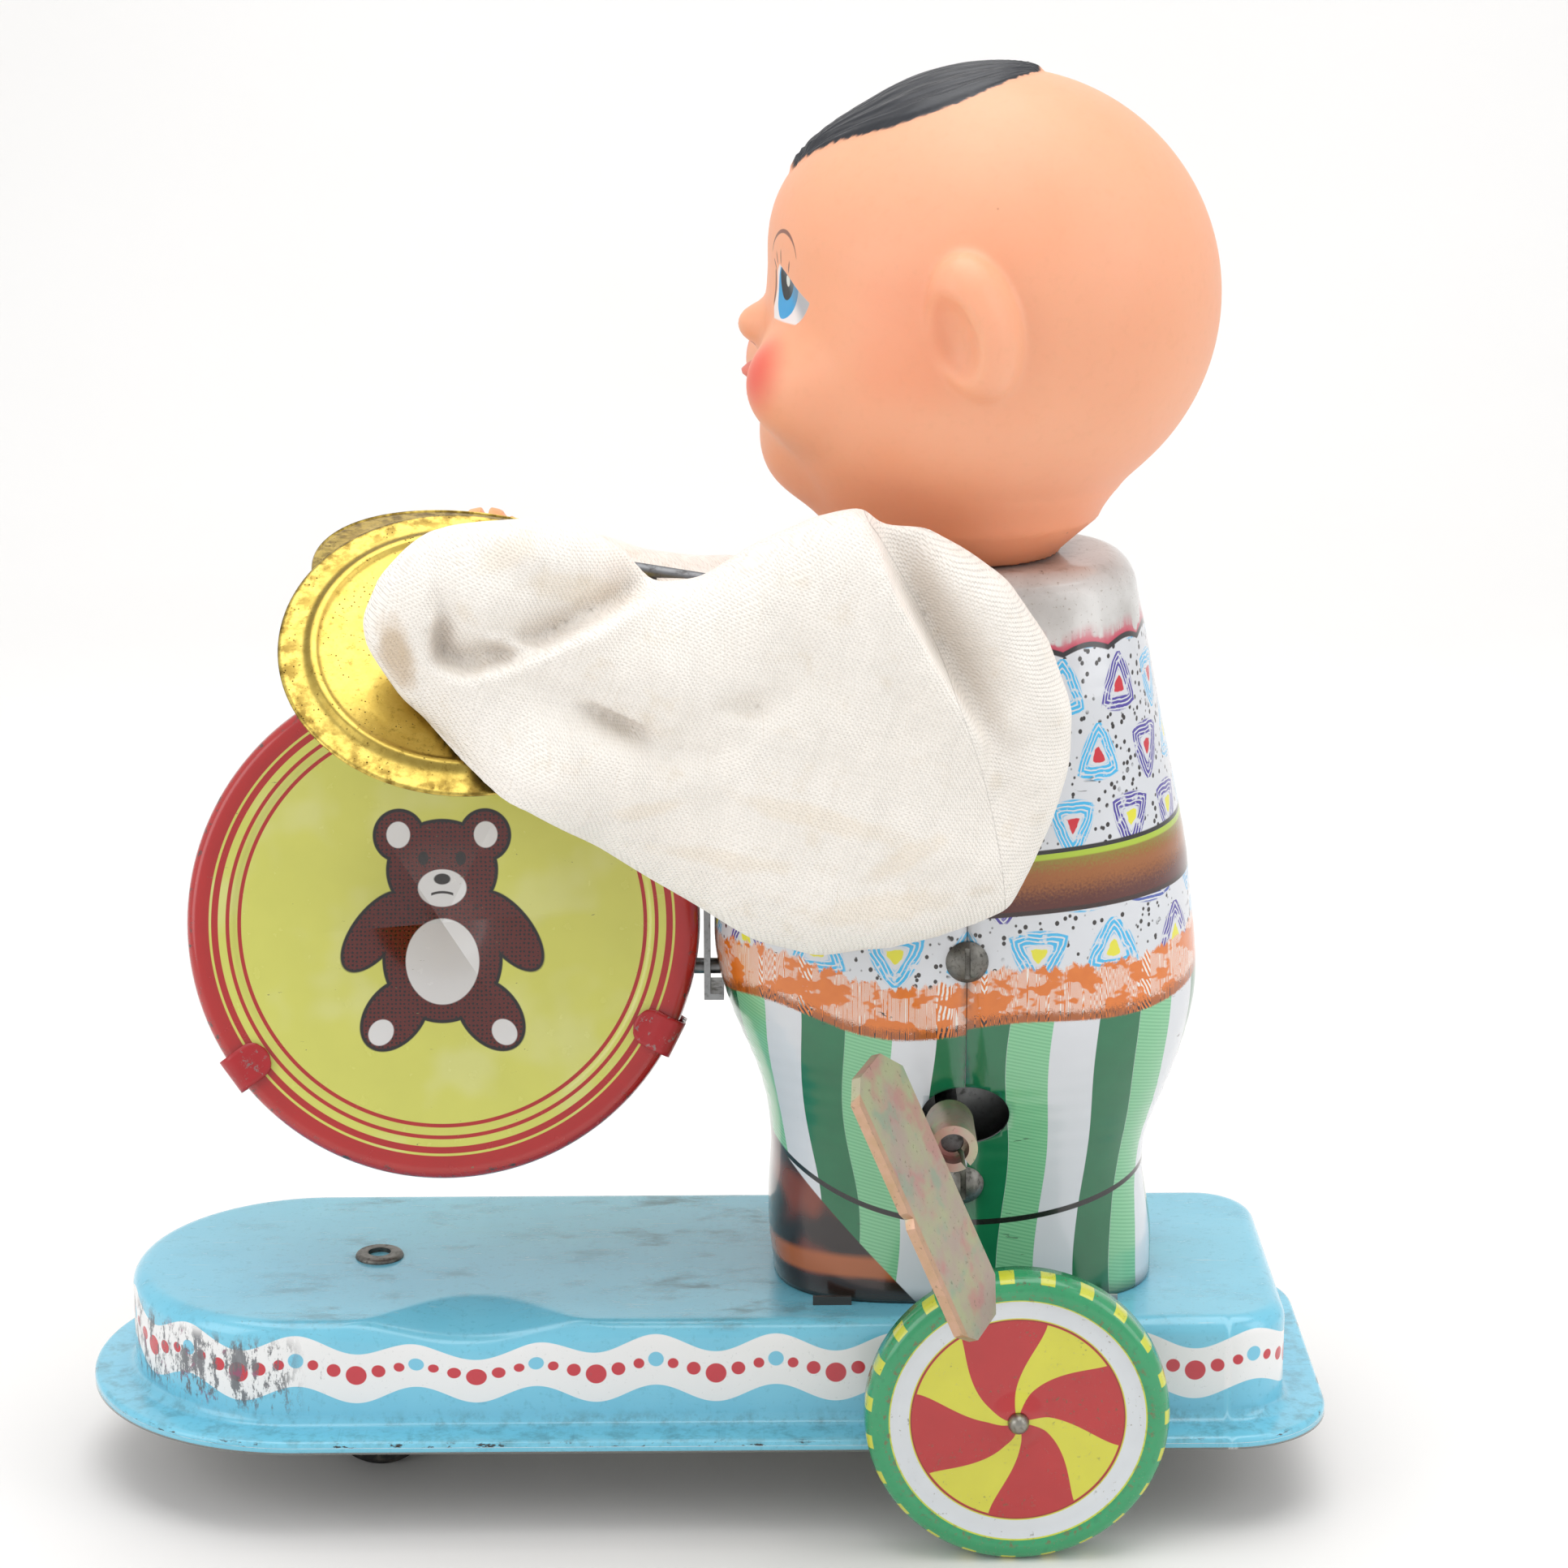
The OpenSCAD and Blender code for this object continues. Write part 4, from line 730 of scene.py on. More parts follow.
# fur hem, belt and collar bands across both halves; the front print sits a little lower than the rear one
hem_b = m.sum(73.2, m.mul(rear, 0.9), m.mul(m.math("SINE", m.mul(S, 0.17)), 0.9),
    m.mul(m.span(side, 10.0, 34.0), 2.6))
hem_t = m.sum(hem_b, 5.9, m.mul(m.noise(1.4, m.vec(U, m.mul(V, 0.15), 1.0), detail=3), 4.0))
strand = m.noise(0.75, m.vec(m.sum(U, m.mul(V, m.span(jit, 0.3, 0.7, 0.1, 0.5))), m.mul(V, 0.16), 0.0),
    detail=3, rough=0.6)
tick = m.math("SINE", m.mul(m.sum(U, m.mul(V, m.span(m.noise(5.0, m.vec(U, 0.0, 3.0)), 0.35, 0.65, -0.15,
    0.55)), m.mul(jit, 0.6)), 2 * math.pi / 0.66))
hair_w2 = m.mul(m.span(tick, -0.1, 0.3), m.span(m.noise(3.4, m.vec(U, m.mul(V, 1.5), 5.0), detail=2), 0.46,
    0.52))
fur = m.mix(hair_w2, m.mix(jit, "E27C28", "D06A1C"), "E8E2DA")
lowfur = m.mul(m.span(m.sum(m.sub(V, hem_b), m.mul(m.sub(strand, 0.5), 5.0)), 1.7, 1.2),
    m.span(tick, -0.2, 0.2))
fur = m.mix(lowfur, fur, "35180F")
ragged = m.mul(m.sub(strand, 0.5), 4.0)
hem = m.mul(m.inside(m.sub(V, m.sum(hem_t, m.mul(ragged, 0.5))), 0.1),
    m.span(m.sub(V, m.sum(hem_b, m.mul(ragged, 0.35))), -0.1, 0.1))
base = m.mix(m.span(m.sub(V, m.sum(hem_b, 0.6)), -0.2, 0.2), pants, shirt)
base = m.mix(hem, base, fur)
bel_b = m.sum(90.5, m.mul(side, 0.055))
bel_t = m.sum(98.3, m.mul(side, 0.06))
bt = m.math("DIVIDE", m.sub(V, bel_b), m.sub(bel_t, bel_b))
grain = m.noise(0.35, m.vec(U, V, 0.0), detail=1)
belt_c = m.mix(m.span(m.sum(bt, m.mul(m.sub(grain, 0.5), 0.5)), 0.1, 0.62), "53180C", "9A5A22")
belt_c = m.mix(m.span(m.sum(bt, m.mul(m.sub(grain, 0.5), 0.4)), 0.62, 0.95), belt_c, "8C7A2A")
belt = m.mul(m.span(bt, -0.01, 0.01), m.span(bt, 1.01, 0.99))
base = m.mix(belt, base, belt_c)
base = m.mix(m.mul(m.span(bt, 0.9, 0.94), m.span(bt, 1.05, 1.02)), base, "A9C133")
base = m.mix(m.mul(m.span(bt, 1.02, 1.03), m.span(bt, 1.12, 1.09)), base, "1A1715")
base = m.mix(m.mul(m.span(bt, -0.07, -0.05), m.span(bt, 0.05, 0.0)), base, "2A0F0A")
scal = m.math("ABSOLUTE", m.math("SINE", m.sum(m.mul(side, 0.42), 0.7)))
col_b = m.sum(126.2, m.mul(side, 0.04), m.mul(scal, 0.9))
collar = m.span(m.sub(V, col_b), -0.06, 0.06)
tongue = m.noise(1.7, m.vec(U, m.mul(V, 0.12), 8.0), detail=2)
pink = m.mul(m.span(m.sub(V, col_b), 3.2, 0.2), m.span(m.sum(tongue,
    m.mul(m.span(m.sub(V, col_b), 1.4, 0.2), 0.3)), 0.44, 0.62))
grey = m.mix(m.span(m.noise(9.0, detail=5), 0.35, 0.7), "D2D0CC", "B9B5B0")
grey = m.mix(m.mul(m.span(fine, 0.62, 0.7), 0.5), grey, "8C7D6C")
base = m.mix(collar, base, m.mix(pink, grey, "C23A55"))
base = m.mix(m.inside(m.sub(m.math("ABSOLUTE", m.sub(V, col_b)), 0.38), 0.1), base, "1E1617")
top = m.span(V, 133.0, 139.0)
base = m.mix(m.mul(top, m.span(m.noise(2.6, detail=6, rough=0.7), 0.5, 0.66), 0.35), base, "7A6A58")
# scratches, rubs and a dark line of dirt where the halves meet
scr = m.span(m.noise(1.3, m.vec(m.mul(U, 0.22), m.mul(V, 1.3), 3.0), detail=3, dist=1.2), 0.715, 0.725)
base = m.mix(m.mul(scr, m.span(m.noise(9.0, m.vec(U, V, 12.0)), 0.5, 0.6)), base, "2B2A28")
base = m.mix(m.mul(m.span(side, 1.0, 0.1), m.span(m.noise(3.0, detail=5), 0.4, 0.6), 0.55), base, "3B3833")
foot = m.mul(m.span(V, 33.0, 30.6), 0.55)
base = m.mix(foot, base, "3A3A36")
# painted shade: ambient occlusion darkens the print in creases and corners and where other parts come close
ao = m.add("ShaderNodeAmbientOcclusion", samples=4)
ao.inputs["Distance"].default_value = 0.003
base = m.mix(m.mul(m.inv(m.span(ao.outputs["AO"], 0.2, 0.9)), 0.4), base, "3A342E")
m.set(Base_Color=base, Roughness=m.sum(0.16, m.mul(m.noise(3.0, detail=5), 0.14), m.mul(top, 0.2)))
m.bump(m.sum(m.mul(m.noise(11.0, detail=1), 2.2), m.mul(m.noise(3.0, detail=2), 0.25), m.mul(fine, 0.03)),
    0.09, 0.55)
inner_tin = Mat("plain_tin_inside", Metallic=0.9, Roughness=0.5)
inner_tin.set(Base_Color=inner_tin.mix(inner_tin.noise(3.0, detail=5), "77787A", "565552"))
for nm, sg, node in (("body_front", -1, "torso_front"), ("body_rear", 1, "torso_rear")):
    o = body_half(nm, sg, cloth_print)
    o.data.materials.append(inner_tin.m)
    cen = Vector((0.0395, 0, 0))
    for f in o.data.polygons:
        d = f.center - cen
        d.z = 0
        if d.dot(Vector((f.normal.x, f.normal.y, 0))) < 0 and abs(f.normal.z) < 0.7 and f.center.z > 0.032:
            f.material_index = 1
    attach(o, "chassis")
    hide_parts(node)

# ---- drum ----
# Two red pressed tin pans on a plain hoop, held by folded tabs; each face printed yellow with a plain
# teddy.
# Everything is turned about the drum's axis, which leans back, so the lathe below works in the drum's own
# frame.
DRUM_C = np.array([-35.2, 0.0, 82.5])


def tilt_x(deg, c):
    a = math.radians(deg)
    return lambda p: (c[0] + p[0], c[1] + p[1] * math.cos(a) - p[2] * math.sin(a),
        c[2] + p[1] * math.sin(a) + p[2] * math.cos(a))


def lathe(name, prof, segs, place, mat, closed=True, wob=None):
    v, uv = [], []
    for r, h in prof:
        for i in range(segs):
            a = 2 * math.pi * i / segs
            p = (r * math.cos(a), r * math.sin(a), h + (wob(r, a) if wob else 0))
            v.append(place(p))
            uv.append((p[0], p[1]))
    f = grid_faces(len(prof), segs, wrap=True)
    if closed:
        n = (len(prof) - 1) * segs
        f += [(n + i, n + (i + 1) % segs, (i + 1) % segs, i) for i in range(segs)]
    o = piece(name, v, f, mat, uv)
    bm = bmesh.new()
    bm.from_mesh(o.data)
    bmesh.ops.remove_doubles(bm, verts=bm.verts, dist=1e-6)
    bmesh.ops.dissolve_degenerate(bm, dist=1e-7, edges=bm.edges)
    bmesh.ops.recalc_face_normals(bm, faces=bm.faces)
    bm.to_mesh(o.data)
    bm.free()
    return o


def round_path(pts, r=0.5, n=4):
    """A polyline with its corners cut round."""
    out = [pts[0]]
    for a, b, c in zip(pts, pts[1:], pts[2:]):
        a, b, c = np.array(a, float), np.array(b, float), np.array(c, float)
        k = min(r, 0.45 * np.linalg.norm(a - b), 0.45 * np.linalg.norm(c - b))
        p, q = b + (a - b) / np.linalg.norm(a - b) * k, b + (c - b) / np.linalg.norm(c - b) * k
        out += [tuple((1 - t) ** 2 * p + 2 * t * (1 - t) * b + t * t * q) for t in np.linspace(0, 1, n)]
    return out + [pts[-1]]


def shell_prof(outer, t, r=0.6):
    o = round_path(outer, r)
    d = np.gradient(np.array(o), axis=0)
    d /= np.linalg.norm(d, axis=1)[:, None]
    inner = [(max(p[0] + t * q[1], 0.001), p[1] - t * q[0]) for p, q in zip(o, d)]
    return o + inner[::-1]


drum_print = Mat("red_and_yellow_drum_tin", Roughness=0.22, Coat_Weight=0.5, Coat_Roughness=0.1)
m = drum_print
A, B, _ = m.xyz(m.co(uv=True))
P = m.co()
rr = m.math("SQRT", m.sum(m.mul(A, A), m.mul(B, B)))
yel = m.mix(m.noise(10.0, detail=3), "D3D264", "C6C65C")
yel = m.mix(m.mul(m.span(m.noise(12.0, m.vmath("ADD", P, (9, 4, 2)), detail=2), 0.5, 0.7), 0.3), yel,
    "DCDCA8")
red = m.mix(m.noise(6.0, detail=5), "B4231F", "A31D1C")
base = yel
for a, b in ((29.0, 29.55), (30.65, 31.2), (32.3, 33.25)):
    base = m.mix(m.mul(m.span(rr, a - 0.05, a + 0.05), m.span(rr, b + 0.05, b - 0.05)), base, red)
base = m.mix(m.span(rr, 33.55, 33.65), base, red)


def blob(cx, cy, a, b, t=0.0):
    return m.ell(A, B, cx, cy, a, b, t, 0.1)


shapes = [(-6.2, 12.6, 3.3, 3.4, 0), (6.2, 12.6, 3.3, 3.4, 0), (0, 7.6, 7.6, 6.9, 0),
    (0, -5.2, 8.2, 8.8, 0), (-9.6, -1.2, 2.9, 6.6, -38), (9.6, -1.2, 2.9, 6.6, 38),
    (-6.9, -13.2, 3.7, 5.6, -40), (6.9, -13.2, 3.7, 5.6, 40)]
ink_m = m.most(*[blob(x, y, a + 0.5, b + 0.5, t) for x, y, a, b, t in shapes])
fur_m = m.most(*[blob(x, y, a, b, t) for x, y, a, b, t in shapes])
half = m.cells(0.62, m.vec(A, B, 0.0), rnd=0.25)
fur_c = m.mix(m.span(half[0], 0.34, 0.24), "5A1A12", "1E0A08")
base = m.paint(base, (ink_m, "1B1512"), (fur_m, fur_c))
light_m = m.most(blob(0, -5.6, 5.3, 6.2), blob(0, 5.0, 3.5, 2.7), blob(-6.3, 12.7, 1.7, 1.9),
    blob(6.3, 12.7, 1.7, 1.9), blob(-8.9, -15.8, 1.7, 2.0, -40), blob(8.9, -15.8, 1.7, 2.0, 40))
base = m.mix(light_m, base, "D6D4D2")
base = m.mix(m.most(blob(-2.7, 9.3, 0.75, 1.0), blob(2.7, 9.3, 0.75, 1.0), blob(0, 6.3, 1.2, 0.8),
    m.mul(m.inside(m.sub(m.math("ABSOLUTE", m.sub(rr, 4.4)), 0.18), 0.08),
    m.inside(m.sub(m.math("ABSOLUTE", A), 1.6), 0.1), m.span(B, 3.6, 3.8), m.span(B, 6.5, 6.0))), base,
    "1B1512")
marks = m.mul(m.span(m.noise(0.9, m.vec(m.mul(A, 0.5), m.mul(B, 1.4), 1.0), detail=3, dist=0.8), 0.735,
    0.745), 0.8)
base = m.mix(marks, base, "6E6A4A")
edge = m.mul(m.span(rr, 35.3, 36.6), m.span(m.noise(1.7, detail=6, rough=0.7), 0.58, 0.63))
base = m.mix(edge, base, "57504C")
m.set(Base_Color=base, Metallic=m.mul(edge, 0.7), Roughness=m.sum(0.17, m.mul(m.noise(2.5, detail=5), 0.16),
    m.mul(edge, 0.2)))
m.bump(m.sum(m.mul(m.noise(16.0, detail=1), 2.0), m.mul(m.noise(2.0, detail=3), 0.15)), 0.08, 0.5)
face = [(0.001, 7.3), (20, 7.35), (29.6, 7.3), (30.4, 7.7), (33.4, 7.85), (34.6, 8.15), (35.9, 8.0),
    (36.7, 7.2), (37.0, 6.0), (37.0, 3.6)]
for node, s in (("drum_face_left", 1), ("drum_face_right", -1)):
    put = tilt_x(75, DRUM_C)
    prof = shell_prof(face, 0.42, 0.7)
    o = lathe(node.replace("drum_face", "drum_pan"), prof, 160, lambda p: put((p[0] * s, p[1], p[2] * s)),
        drum_print)
    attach(o, "chassis")
    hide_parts(node)
hoop_v, hoop_f = [], []
strip = [(37.3, 0.0), (37.45, 4.0), (37.55, 6.6), (37.2, 7.9), (36.3, 8.75), (35.0, 8.75), (33.6, 8.35),
    (32.2, 8.1), (31.2, 8.05)]
strip = round_path(strip, 0.6)
tabs = []
for ang in (-27, -144, 90):
    for s in (1, -1):
        v, f = [], []
        n = len(strip)
        arc = np.concatenate([[0], np.cumsum(np.hypot(*np.diff(np.array(strip), axis=0).T))])
        for th in (0.0, 0.42):
            for i, (r, h) in enumerate(strip):
                g = arc[-1] - arc[i]
                hw = 2.7 if g > 2.4 else 2.7 * math.sqrt(max(0.0, 1 - ((2.4 - g) / 2.45) ** 2)) + 0.02
                for y in np.linspace(-hw, hw, 9):
                    t = Vector((r - strip[max(i - 1, 0)][0],
                        h - strip[max(i - 1, 0)][1])) if i else Vector((0, 1))
                    t.normalize()
                    rr_, hh_ = r + t.y * th, h - t.x * th
                    a = math.radians(ang)
                    lx, ly = rr_ * math.cos(a) - y * math.sin(a), rr_ * math.sin(a) + y * math.cos(a)
                    v.append(tilt_x(75, DRUM_C)((lx, ly, hh_ * s)))
        k = n * 9
        f += grid_faces(n, 9) + [tuple(k + j for j in q[::-1]) for q in grid_faces(n, 9)]
        rim_i = [i * 9 for i in range(n)] + [(n - 1) * 9 + j for j in range(1,
            9)] + [i * 9 + 8 for i in range(n - 2, -1, -1)] + [j for j in range(7, 0, -1)]
        f += [(rim_i[i], rim_i[(i + 1) % len(rim_i)], k + rim_i[(i + 1) % len(rim_i)],
            k + rim_i[i]) for i in range(len(rim_i))]
        base_i = len(hoop_v)
        hoop_v += v
        hoop_f += [tuple(base_i + j for j in q) for q in f]
hoop_m = Mat("drum_hoop_tin", Roughness=0.3)
m = hoop_m
P = m.co()
depth = m.add("ShaderNodeVectorMath", operation="DOT_PRODUCT")
m.put(depth.inputs[0], m.vmath("SUBTRACT", P, tuple(DRUM_C)))
depth.inputs[1].default_value = (0, -math.sin(math.radians(75)), math.cos(math.radians(75)))
fold = m.span(m.math("ABSOLUTE", depth.outputs["Value"]), 4.4, 4.8)
red = m.mix(m.noise(3.0, detail=4), "B2242A", "9C1D20")
rub = m.span(m.noise(1.2, detail=6, rough=0.75), 0.57, 0.62)
tin = m.mix(m.noise(2.0, detail=5), "A5A5A3", "6F6C68")
m.set(Base_Color=m.mix(m.mul(fold, m.inv(m.mul(rub, 0.7))), tin, red),
    Metallic=m.inv(m.mul(fold, m.inv(m.mul(rub, 0.6)))),
    Roughness=m.sum(0.24, m.mul(m.noise(2.0, detail=4), 0.2)))
m.bump(m.noise(1.6, detail=4), 0.06, 0.5)
ring_prof = [(36.4, -6.0), (36.4, -2.0), (36.4, 2.0), (36.4, 6.0), (35.95, 6.0), (35.95, 2.0),
    (35.95, -2.0), (35.95, -6.0)]
hoop = lathe("drum_band", ring_prof, 128, tilt_x(75, DRUM_C), hoop_m)
tabs_o = outward(piece("tabs", hoop_v, hoop_f, hoop_m))
bpy.ops.object.select_all(action="DESELECT")
tabs_o.select_set(True)
hoop.select_set(True)
bpy.context.view_layer.objects.active = hoop
bpy.ops.object.join()
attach(hoop, "chassis")
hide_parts("drum_hoop")

# ---- wheels: green pressed tin, the outer pan printed with a white ring and a red and yellow pinwheel ----
# Yellow dashes run round the shoulder; the shallow face shows chips and rubs through the ink.
WX, WZ = 46.4, 21.5
wheel_m = Mat("green_printed_wheel_tin", Roughness=0.2, Coat_Weight=0.5, Coat_Roughness=0.1)
m = wheel_m
P = m.co()
X, Y, Z = m.xyz(P)
dx, dz = m.sub(X, WX), m.sub(Z, WZ)
rr = m.math("SQRT", m.sum(m.mul(dx, dx), m.mul(dz, dz)))
an = m.mul(m.math("ARCTAN2", dz, dx), 180 / math.pi)
dep = m.sub(42.0, m.math("ABSOLUTE", Y))
green = m.mix(m.noise(7.0, detail=4), "2F9E66", "268A58")
green = m.mix(m.mul(m.span(m.noise(1.0, detail=4), 0.55, 0.7), 0.3), green, "1E7048")
dash = m.math("FRACT", m.mul(m.sum(an, 367.0), 23 / 360))
dash = m.mul(m.inside(m.sub(m.math("ABSOLUTE", m.sub(dash, 0.5)), 0.18), 0.01), m.span(rr, 20.55, 20.65),
    m.span(dep, 3.45, 3.35))
base = m.mix(dash, green, "C9CC3E")
face_m = m.span(dep, 2.4, 2.2)
base = m.mix(m.mul(face_m, m.inside(m.sub(rr, 18.15), 0.05)), base, "C6CC3C")
base = m.mix(m.mul(face_m, m.inside(m.sub(rr, 17.95), 0.05)), base, m.mix(m.noise(6.0), "D6DADC", "C9CDD0"))
base = m.mix(m.mul(face_m, m.inside(m.sub(rr, 15.28), 0.05)), base, "C8C43A")
base = m.mix(m.mul(face_m, m.inside(m.sub(rr, 15.1), 0.05)), base, "8E1F1C")
redp = m.mix(m.noise(5.0, detail=4), "B9282A", "A82225")
base = m.mix(m.mul(face_m, m.inside(m.sub(rr, 14.9), 0.05)), base, redp)
k = m.most(m.inv(m.mul(rr, 1 / 14.9)), 0.0)
mid = m.sum(53.7 + 720.0, m.mul(m.math("POWER", k, 1.6), 46.0))
off = m.math("PINGPONG", m.sum(m.sub(an, mid), 1440.0), 45.0)
hw = m.sum(11.5, m.mul(rr, 0.62))
vane = m.mul(face_m, m.inside(m.sub(m.mul(m.sub(off, hw), m.mul(rr, 0.01745)), 0.0), 0.05),
    m.inside(m.sub(rr, 14.75), 0.05))
base = m.mix(vane, base, m.mix(m.noise(5.0), "D3D03E", "C6C23C"))
dirt = m.mul(m.span(m.noise(0.55, detail=3), 0.62, 0.7),
    m.span(m.noise(8.0, m.vmath("ADD", P, (3, 9, 5)), detail=2), 0.45, 0.6))
base = m.mix(m.mul(dirt, 0.65), base, "5B5636")
near_rim = m.inside(m.sub(m.math("ABSOLUTE", m.sub(rr, 18.6)), 0.5), 0.3)
base = m.mix(m.mul(near_rim, face_m, m.span(m.noise(1.1, detail=6, rough=0.7), 0.52, 0.6), 0.8), base,
    "6C6440")
chip = m.mul(m.span(rr, 20.2, 21.2), m.span(m.noise(0.8, detail=6, rough=0.75), 0.61, 0.64))
base = m.mix(chip, base, "7C6F55")
m.set(Base_Color=base, Metallic=m.mul(chip, 0.6), Roughness=m.sum(0.16, m.mul(dirt, 0.4),
    m.mul(m.noise(2.0, detail=4), 0.14)))
m.bump(m.sum(m.mul(m.noise(9.0, detail=1), 1.2), m.mul(m.noise(1.2, detail=3), 0.12), m.mul(dirt, -0.2)),
    0.07, 0.5)
wheel_prof = [(0.96, -0.15), (2.2, 0.0), (3.2, 0.45), (4.2, 0.95), (9.0, 1.0), (14.0, 0.95), (17.2, 0.8),
    (18.1, 0.35), (18.9, 0.02), (19.9, 0.08), (20.8, 0.6), (21.35, 1.5), (21.5, 2.6), (21.5, 4.82)]
for node, s in (("left_wheel_outer", -1), ("right_wheel_outer", 1)):
    prof = shell_prof([(r, -h) for r, h in wheel_prof], 0.4, 0.5)
    o = lathe(node.replace("_outer", "_pan"), prof, 144,
        lambda p: (WX + p[0], s * (42.0 + p[2]), WZ + p[1]), wheel_m)
    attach(o, "axle")
    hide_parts(node)

# ---- sleeves ----
# Two unlined tubes of plain cream cotton over the wire arms, from the body's shoulder to the hand.
# Each is laid out from its outline, folded over at the elbow and behind the shoulder, with a raw edge
# round the hand.
OUT = [(-34.0, 146.6), (-29.6, 147.8), (-21.4, 148.6), (-14.5, 148.4), (-7.4, 144.4), (-3.6, 139.9),
    (2.6, 140.8), (10.4, 145.7), (18.0, 149.2), (24.5, 150.6), (27.0, 148.0), (33.2, 147.6), (38.8, 144.4),
    (44.1, 140.4), (49.6, 132.3), (52.9, 123.0), (52.8, 114.8), (50.6, 107.1), (47.2, 99.4), (44.6, 94.4),
    (37.8, 91.6), (28.6, 89.2), (18.0, 88.0), (9.6, 90.2), (2.4, 94.6), (-9.2, 101.8), (-20.6, 110.0),
    (-29.8, 116.8), (-37.9, 123.8), (-42.6, 131.0), (-43.2, 134.6), (-40.6, 140.6), (-37.2, 144.3)]


BODY = ("body_front", "body_rear")
# near and far face: how far each puffs out, and how wide its rounded edge is, in mm
NEAR_PUFF, NEAR_EDGE = 9.2, 13.0
FAR_PUFF, FAR_EDGE = 8.0, 12.0
# the cymbal's centre, tilt and radius, and the two ends of the arm rod, as the frame has them
CYM, CYM_TILT = (-30.6, -21.5, 128.2), 38
SHOULDER, HAND = (33.0, -15.0, 124.8), (-29.8, -25.3, 133.1)


def smooth_loop(pts, n, soft):
    p = np.array(pts + pts[:1], float)
    s = np.concatenate([[0], np.cumsum(np.linalg.norm(np.diff(p, axis=0), axis=1))])
    t = np.linspace(0, s[-1], n, endpoint=False)
    q = np.stack([np.interp(t, s, p[:, 0]), np.interp(t, s, p[:, 1])], 1)
    for _ in range(soft):
        q = 0.5 * q + 0.25 * (np.roll(q, 1, 0) + np.roll(q, -1, 0))
    return q


def near_line(p, line):
    """Distance, side and place along a polyline for each point."""
    best = np.full(len(p), 1e9)
    side, along = np.zeros(len(p)), np.zeros(len(p))
    total = sum(np.linalg.norm(np.subtract(b, a)) for a, b in zip(line, line[1:]))
    run = 0.0
    for a, b in zip(line, line[1:]):
        a, b = np.array(a, float), np.array(b, float)
        d = b - a
        l = np.linalg.norm(d)
        t = np.clip(((p - a) @ d) / l ** 2, 0, 1)
        g = p - (a + t[:, None] * d)
        r = np.linalg.norm(g, axis=1)
        m_ = r < best
        best[m_] = r[m_]
        side[m_] = np.sign(d[0] * g[m_, 1] - d[1] * g[m_, 0])
        along[m_] = (run + t[m_] * l) / total
        run += l
    return best, side, along


def edge_dist(p, loop):
    best = np.full(len(p), 1e9)
    for a, b in zip(loop, np.roll(loop, -1, 0)):
        d = b - a
        t = np.clip(((p - a) @ d) / (d @ d), 0, 1)
        best = np.minimum(best, np.linalg.norm(p - (a + t[:, None] * d), axis=1))
    return best


def bumpf(d, w):
    return np.exp(-(d / w) ** 2)


def step(x, a, b):
    t = np.clip((x - a) / (b - a), 0, 1)
    return t * t * (3 - 2 * t)


ELBOW = [(-3.6, 140.6), (-8.0, 137.8), (-15.0, 134.6), (-22.0, 131.2), (-28.6, 129.4), (-32.4, 130.6),
    (-32.6, 134.0)]
BACK = [(24.4, 151.5), (28.6, 140.5), (33.5, 131.5), (37.4, 125.0), (40.6, 119.4), (40.2, 113.5)]


def near_side(p, edge):
    d = edge_dist(p, edge)
    h = NEAR_PUFF * np.sqrt(1 - (1 - np.clip(d / NEAR_EDGE, 0, 1)) ** 2)
    e, s, t = near_line(p, ELBOW)
    deep = 8.0 * (1 - 0.35 * t)
    h = h + 1.2 * np.where(s > 0, bumpf(e, 2.2), 0) * (e < 14)
    h = h - deep * np.where(s < 0, np.exp(-e / 4.6), bumpf(e, 0.7)) * (e < 14)
    e, s, t = near_line(p, BACK)
    fade = step(t, 1.0, 0.6)
    h = h + np.where(s < 0, 1.5 * bumpf(e, 3.4), 0) * fade
    h = h - np.where(s > 0, 9.0 * np.exp(-(e / 6.5) ** 2) * step(e, 0.0, 0.8), 0) * fade
    r = np.hypot(p[:, 0] - 42.6, (p[:, 1] - 112.5) * 0.7)
    h = h - 3.2 * bumpf(r, 5.2)
    # softer creases fanning from the elbow and across the upper arm
    for line, amp, wd in (([(-16, 126), (-6, 121.5), (-1.5, 118)], 4.2, 2.1),
        ([(-1.5, 118), (5, 121.5), (14, 127)], 4.4, 2.2), ([(-1.5, 118), (2, 112), (9, 106)], 0.8, 3.4),
        ([(10, 142), (14, 134), (20, 128)], 0.9, 3.0), ([(-36, 138), (-33, 131), (-34, 124)], 1.2, 2.2),
        ([(-27, 146), (-21, 141), (-14, 140)], 0.9, 2.2), ([(20, 98), (30, 101), (40, 99)], 0.8, 3.0)):
        e, s, t = near_line(p, line)
        h = h - amp * bumpf(e, wd) * np.sin(np.pi * np.clip(t, 0.08, 0.92))
    x, z = p[:, 0], p[:, 1]
    h = h + 0.35 * np.sin(0.33 * x + 0.21 * z) * np.sin(0.17 * x - 0.29 * z + 1.0)
    h = h + 0.18 * np.sin(0.8 * x + 0.35 * z + 2 * np.sin(0.2 * z))
    return np.maximum(h, 0)


def far_side(p, edge, mid):
    d = edge_dist(p, edge)
    h = FAR_PUFF * np.sqrt(1 - (1 - np.clip(d / FAR_EDGE, 0, 1)) ** 2)
    x, z = p[:, 0], p[:, 1]
    e, s, t = near_line(p, [(SHOULDER[0], SHOULDER[2]), (HAND[0], HAND[2])])
    rod_y = np.interp(x, [HAND[0], SHOULDER[0]], [HAND[1], SHOULDER[1]])
    reach = (rod_y + 3.4 - mid) * np.sqrt(np.clip(1 - (e / 7.0) ** 2, 0, 1)) * step(d, 0.0, 3.0)
    return np.maximum(h, reach) + 0.3 * np.sin(0.3 * x + 0.25 * z)


